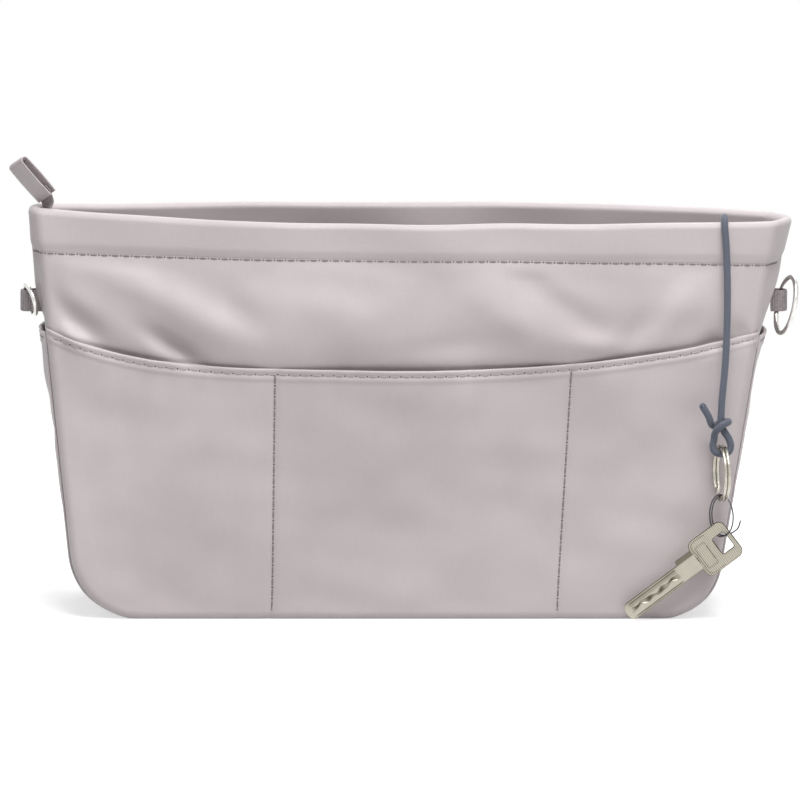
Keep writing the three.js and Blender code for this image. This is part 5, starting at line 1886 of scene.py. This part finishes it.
@dataclass
class Key:
    """A flat key: a rounded head with a raised border and a bare panel, and a blade with a milled track."""

    finishes: Finishes
    thick: float = 2.2 * MM
    head: Pair = (9.25 * MM, 8.75 * MM)
    head_round: float = 3 * MM
    hole: Pair = (3 * MM, 4 * MM)
    hole_round: float = 1.0 * MM
    hole_back: float = 4.2 * MM
    blade: float = 37 * MM
    blade_half: float = 4 * MM
    hang: Pair = (-5.2 * MM, -2.4 * MM)
    place: Triple = (137.4 * MM, -48 * MM, 36 * MM)
    lean: float = math.radians(143)
    edge_round: float = 0.5 * MM
    panel_sink: float = 0.18 * MM
    panel_border: float = 1.2 * MM
    panel_middle: float = 4.6 * MM
    panel_half: Pair = (2.4 * MM, 5.2 * MM)
    blade_power: float = 0.3
    tip_round: float = 3 * MM
    shoulder: float = 0.9 * MM
    track_depth: float = 0.42 * MM
    groove_depth: float = 0.16 * MM
    groove_place: float = 3.0 * MM

    def settle(self, points: Array) -> Array:
        """Points from the key's own plane (along, across, thickness) to where it hangs."""
        moved = points - np.array([*self.hang, 0])
        upright = np.stack([moved[..., 0], -moved[..., 2], moved[..., 1]], -1)
        return turned_y(upright, self.lean) + np.array(self.place)

    def head_ring(self) -> Piece:
        """The head: a ring from the hole's outline to its own, with eased edges and a sunk panel."""
        angle = full_turn(180)[:, None]
        hole = box_outline(self.hole, self.hole_round, -self.hole_back)
        near = outline_reach(hole, -self.hole_back, angle)
        far = outline_reach(box_outline(self.head, self.head_round, 0), -self.hole_back, angle)
        share = crowded(0, 1, 36, [0, 1], 0.07, 6)[None, :]
        reach = near + (far - near) * share
        inner, outer = reach - near, far - reach
        gap = np.minimum(inner, outer)
        bevel = self.edge_round
        drop = bevel - np.sqrt(bevel**2 - np.clip(bevel - gap, 0, bevel) ** 2)
        x = reach * np.cos(angle) - self.hole_back
        sunk = self.panel_sink * ease(1.0 * MM, 1.3 * MM, gap) * ease(0.2 * MM, 0.6 * MM, x)
        height = self.thick / 2 - drop - sunk
        y = reach * np.sin(angle)
        front = grid(x, y, height)
        back = grid(x, y, -height)[:, ::-1]
        line = bell(gap - self.panel_border, 0.22 * MM) * ease(0.0, 0.6 * MM, x)
        right = np.abs(x - self.panel_middle) - self.panel_half[0]
        up = np.abs(y) - self.panel_half[1]
        frame_line = bell(np.maximum(right, up), 0.16 * MM)
        # Painted shade, darker towards 1: on the eased edges, in the crease at the panel's border step, and
        # along a dark line round a rectangle in the panel with no step under it, over a faint even tone.
        painted_shade = 0.12 + 0.7 * line + 0.6 * frame_line + 1.1 * np.sqrt(drop / bevel)
        points = np.concatenate([front, back], axis=1)
        pattern = np.stack([points[..., 0], np.concatenate([painted_shade, painted_shade[:, ::-1]], axis=1)], -1)
        return put_ring("key_head", self.settle(points), pattern)

    def blade_bar(self) -> Piece:
        """The blade: a flat rounded bar with a shoulder, a track milled in both faces, and an eased tip."""
        start, tip = self.head[0] - 1.2 * MM, self.head[0] + self.blade
        along = np.concatenate([[start], crowded(start, tip, 200, [start, tip], 2 * MM, 3), [tip]])[:, None]
        turn = np.linspace(1, -1, 61)
        turn = np.arccos(signed_power(turn, 1 / self.blade_power))
        angle = np.concatenate([turn, 2 * np.pi - turn[-2:0:-1]])[None, :]
        left = tip - along
        end = np.sqrt(np.clip(1 - (np.maximum(self.tip_round - left, 0) / self.tip_round) ** 2, 0, 1))
        step = self.shoulder * (1 - ease(self.head[0] + 7.6 * MM, self.head[0] + 8.4 * MM, along))
        half = (self.blade_half + step) * (0.25 + 0.75 * end)
        across = signed_power(np.cos(angle), self.blade_power) * half - step
        lift = signed_power(np.sin(angle), self.blade_power) * self.thick / 2 * (0.5 + 0.5 * end)
        run = along - self.head[0]
        wander = 0.4 * MM * np.sin(run / (2.7 * MM)) + 0.25 * MM * np.sin(run / (0.83 * MM) + 1)
        reach = ease(9 * MM, 10.5 * MM, run) * ease(1.5 * MM, 4 * MM, left)
        wide = 0.75 * MM + 0.3 * MM * np.sin(run / (1.3 * MM))
        track = bell(across - wander * reach, wide, 6) * reach
        groove = bell(np.abs(across) - self.groove_place, 0.28 * MM) * reach
        sink = self.track_depth * track + self.groove_depth * groove
        lift = np.sign(lift) * np.maximum(np.abs(lift) - sink * (np.abs(lift) > 0.5 * MM), 0)
        points = grid(along, across, lift).copy()
        points[0, :, 1:] = 0
        points[-1, :, 1:] = 0
        rim = ease(self.blade_half - 0.7 * MM, self.blade_half - 0.1 * MM, np.abs(across))
        band = bell(across + 2.1 * MM, 0.7 * MM) * reach
        # Painted shade: darker in the milled track and the grooves and towards the eased edges, plus one
        # strip along the blade that is a painted dark reflection.
        painted_shade = (0.6 + 0.25 * np.sin(run / (0.95 * MM))) * track + 0.8 * groove + 0.4 * band + 0.7 * rim
        pattern = grid(points[..., 0], painted_shade)
        return put_ring("key_blade", self.settle(points), pattern, wrap_rows=False)

    def build(self) -> None:
        """Builds the key in one piece."""
        piece = join_pieces("key_plate", [self.head_ring(), self.blade_bar()])
        self.finishes.dress(piece, "key", "key_metal", "key", finish="key_plate")


@dataclass(frozen=True)
class Lamp:
    """A square lamp that faces the insert: its place, the length of its sides, and its power in watts."""

    name: str
    place: Triple
    size: float
    power: float


LAMPS = (
    Lamp("key_lamp", (0.25, -1.15, 1.8), 0.8, 20.0),
    Lamp("top_lamp", (0.1, -0.35, 1.7), 0.9, 15.0),
    Lamp("fill_lamp", (0.9, -1.7, 0.2), 1.4, 3.0),
    Lamp("back_lamp", (0.3, 1.6, 1.5), 1.2, 11.0),
)


@dataclass
class Studio:
    """White floor and surroundings, soft lamps, and the camera at the photograph's angle."""

    target: Triple = (2.1 * MM, 0.0, 87.3 * MM)
    elevation: float = math.radians(8)
    distance: float = 12.0
    frame_width: float = 0.3376
    sensor: float = 36.0
    surround: float = 0.32
    floor_grey: Colour = (0.6, 0.6, 0.6, 1.0)
    floor_lift: float = 0.62
    floor_rings: tuple[float, ...] = (0.0, 0.25, 0.4, 0.6)
    floor_drop: float = 0.2 * MM

    def camera(self) -> None:
        """A long lens, looking down a little at the front."""
        data = bpy.data.cameras.new("studio_camera")
        data.sensor_width = self.sensor
        data.lens = self.sensor * self.distance / self.frame_width
        data.clip_end = 50
        back = Vector((0, -math.cos(self.elevation), math.sin(self.elevation)))
        camera = put_object("studio_camera", data)
        self.aim(camera, Vector(self.target) + back * self.distance)
        bpy.context.scene.camera = camera

    def aim(self, thing: Piece, place: Vector) -> None:
        """Puts a camera or a lamp at a place and turns it to the insert."""
        thing.location = place
        thing.rotation_euler = (Vector(self.target) - place).to_track_quat("-Z", "Y").to_euler()

    def light(self, lamp: Lamp) -> None:
        """Hangs a lamp."""
        data = bpy.data.lights.new(lamp.name, "AREA")
        data.size = lamp.size
        data.energy = lamp.power
        self.aim(put_object(lamp.name, data), Vector(lamp.place))

    @staticmethod
    def seen(tree: Tree) -> Socket:
        """Factor of 1 for rays that show the background: camera, glossy and transmission rays."""
        rays = tree.add("ShaderNodeLightPath").outputs
        shown = tree.math("MAXIMUM", rays["Is Camera Ray"], rays["Is Glossy Ray"])
        return tree.math("MAXIMUM", shown, rays["Is Transmission Ray"])

    def world(self) -> None:
        """A white surround that lights the insert at a plain level."""
        world = bpy.data.worlds.new("studio_world")
        bpy.context.scene.world = world
        world.use_nodes = True
        tree = Tree(world.node_tree)
        light = tree.nodes["Background"]
        tree.feed(light.inputs[0], WHITE)
        tree.feed(light.inputs[1], self.surround)
        white = tree.add("ShaderNodeBackground", {0: WHITE, 1: 1.0})
        shades = {0: self.seen(tree), 1: light.outputs[0], 2: white.outputs[0]}
        mix = tree.add("ShaderNodeMixShader", shades)
        tree.feed(tree.nodes["World Output"].inputs[0], mix.outputs[0])

    def floor(self) -> None:
        """A round white floor, which keeps the shadow and is white where no shadow lies."""
        turn = full_turn(96)
        reach = np.array(self.floor_rings)[:, None]
        x, y = reach * np.cos(turn), reach * np.sin(turn)
        points = np.stack([x, y, 0 * x - self.floor_drop], -1)
        floor = put_ring("studio_floor", points, points[..., :2], wrap_rows=False)
        shader = Shader("studio_white")
        lift = shader.math("MULTIPLY", self.seen(shader), self.floor_lift)
        shader.finish(Base_Color=self.floor_grey, Roughness=0.9, Specular_IOR_Level=0.0)
        shader.finish(Emission_Color=WHITE, Emission_Strength=lift)
        floor.data.materials.append(shader.material)

    def build(self) -> None:
        """Sets the scene."""
        bpy.context.scene.view_settings.view_transform = "Standard"
        self.camera()
        self.world()
        self.floor()
        for lamp in LAMPS:
            self.light(lamp)


def main() -> None:
    """Builds the insert in order."""
    logging.basicConfig(level=logging.INFO)
    finishes = Finishes()
    Studio().build()
    form = Form()
    work = Needlework()
    hem_work = Needlework(radius=0.28 * MM)
    Leash(finishes).build()
    Key(finishes).build()
    Shell(form, finishes, work, hem_work).build()
    Hardware(form, finishes).build()
    Zip(form, finishes).build()
    sewing = {
        "sewing_thread": (work.threads, "thread"),
        # The needle-hole marks are painted shade.
        "painted_hole_shades": (work.hole_shade_marks + hem_work.hole_shade_marks, "hole"),
        "pocket_hem_thread": (hem_work.threads, "hem_thread"),
    }
    for name, (rows, finish) in sewing.items():
        finishes.dress(Needlework.gather(name, rows), "bag", "nylon", finish=finish)


if __name__ == "__main__":
    main()
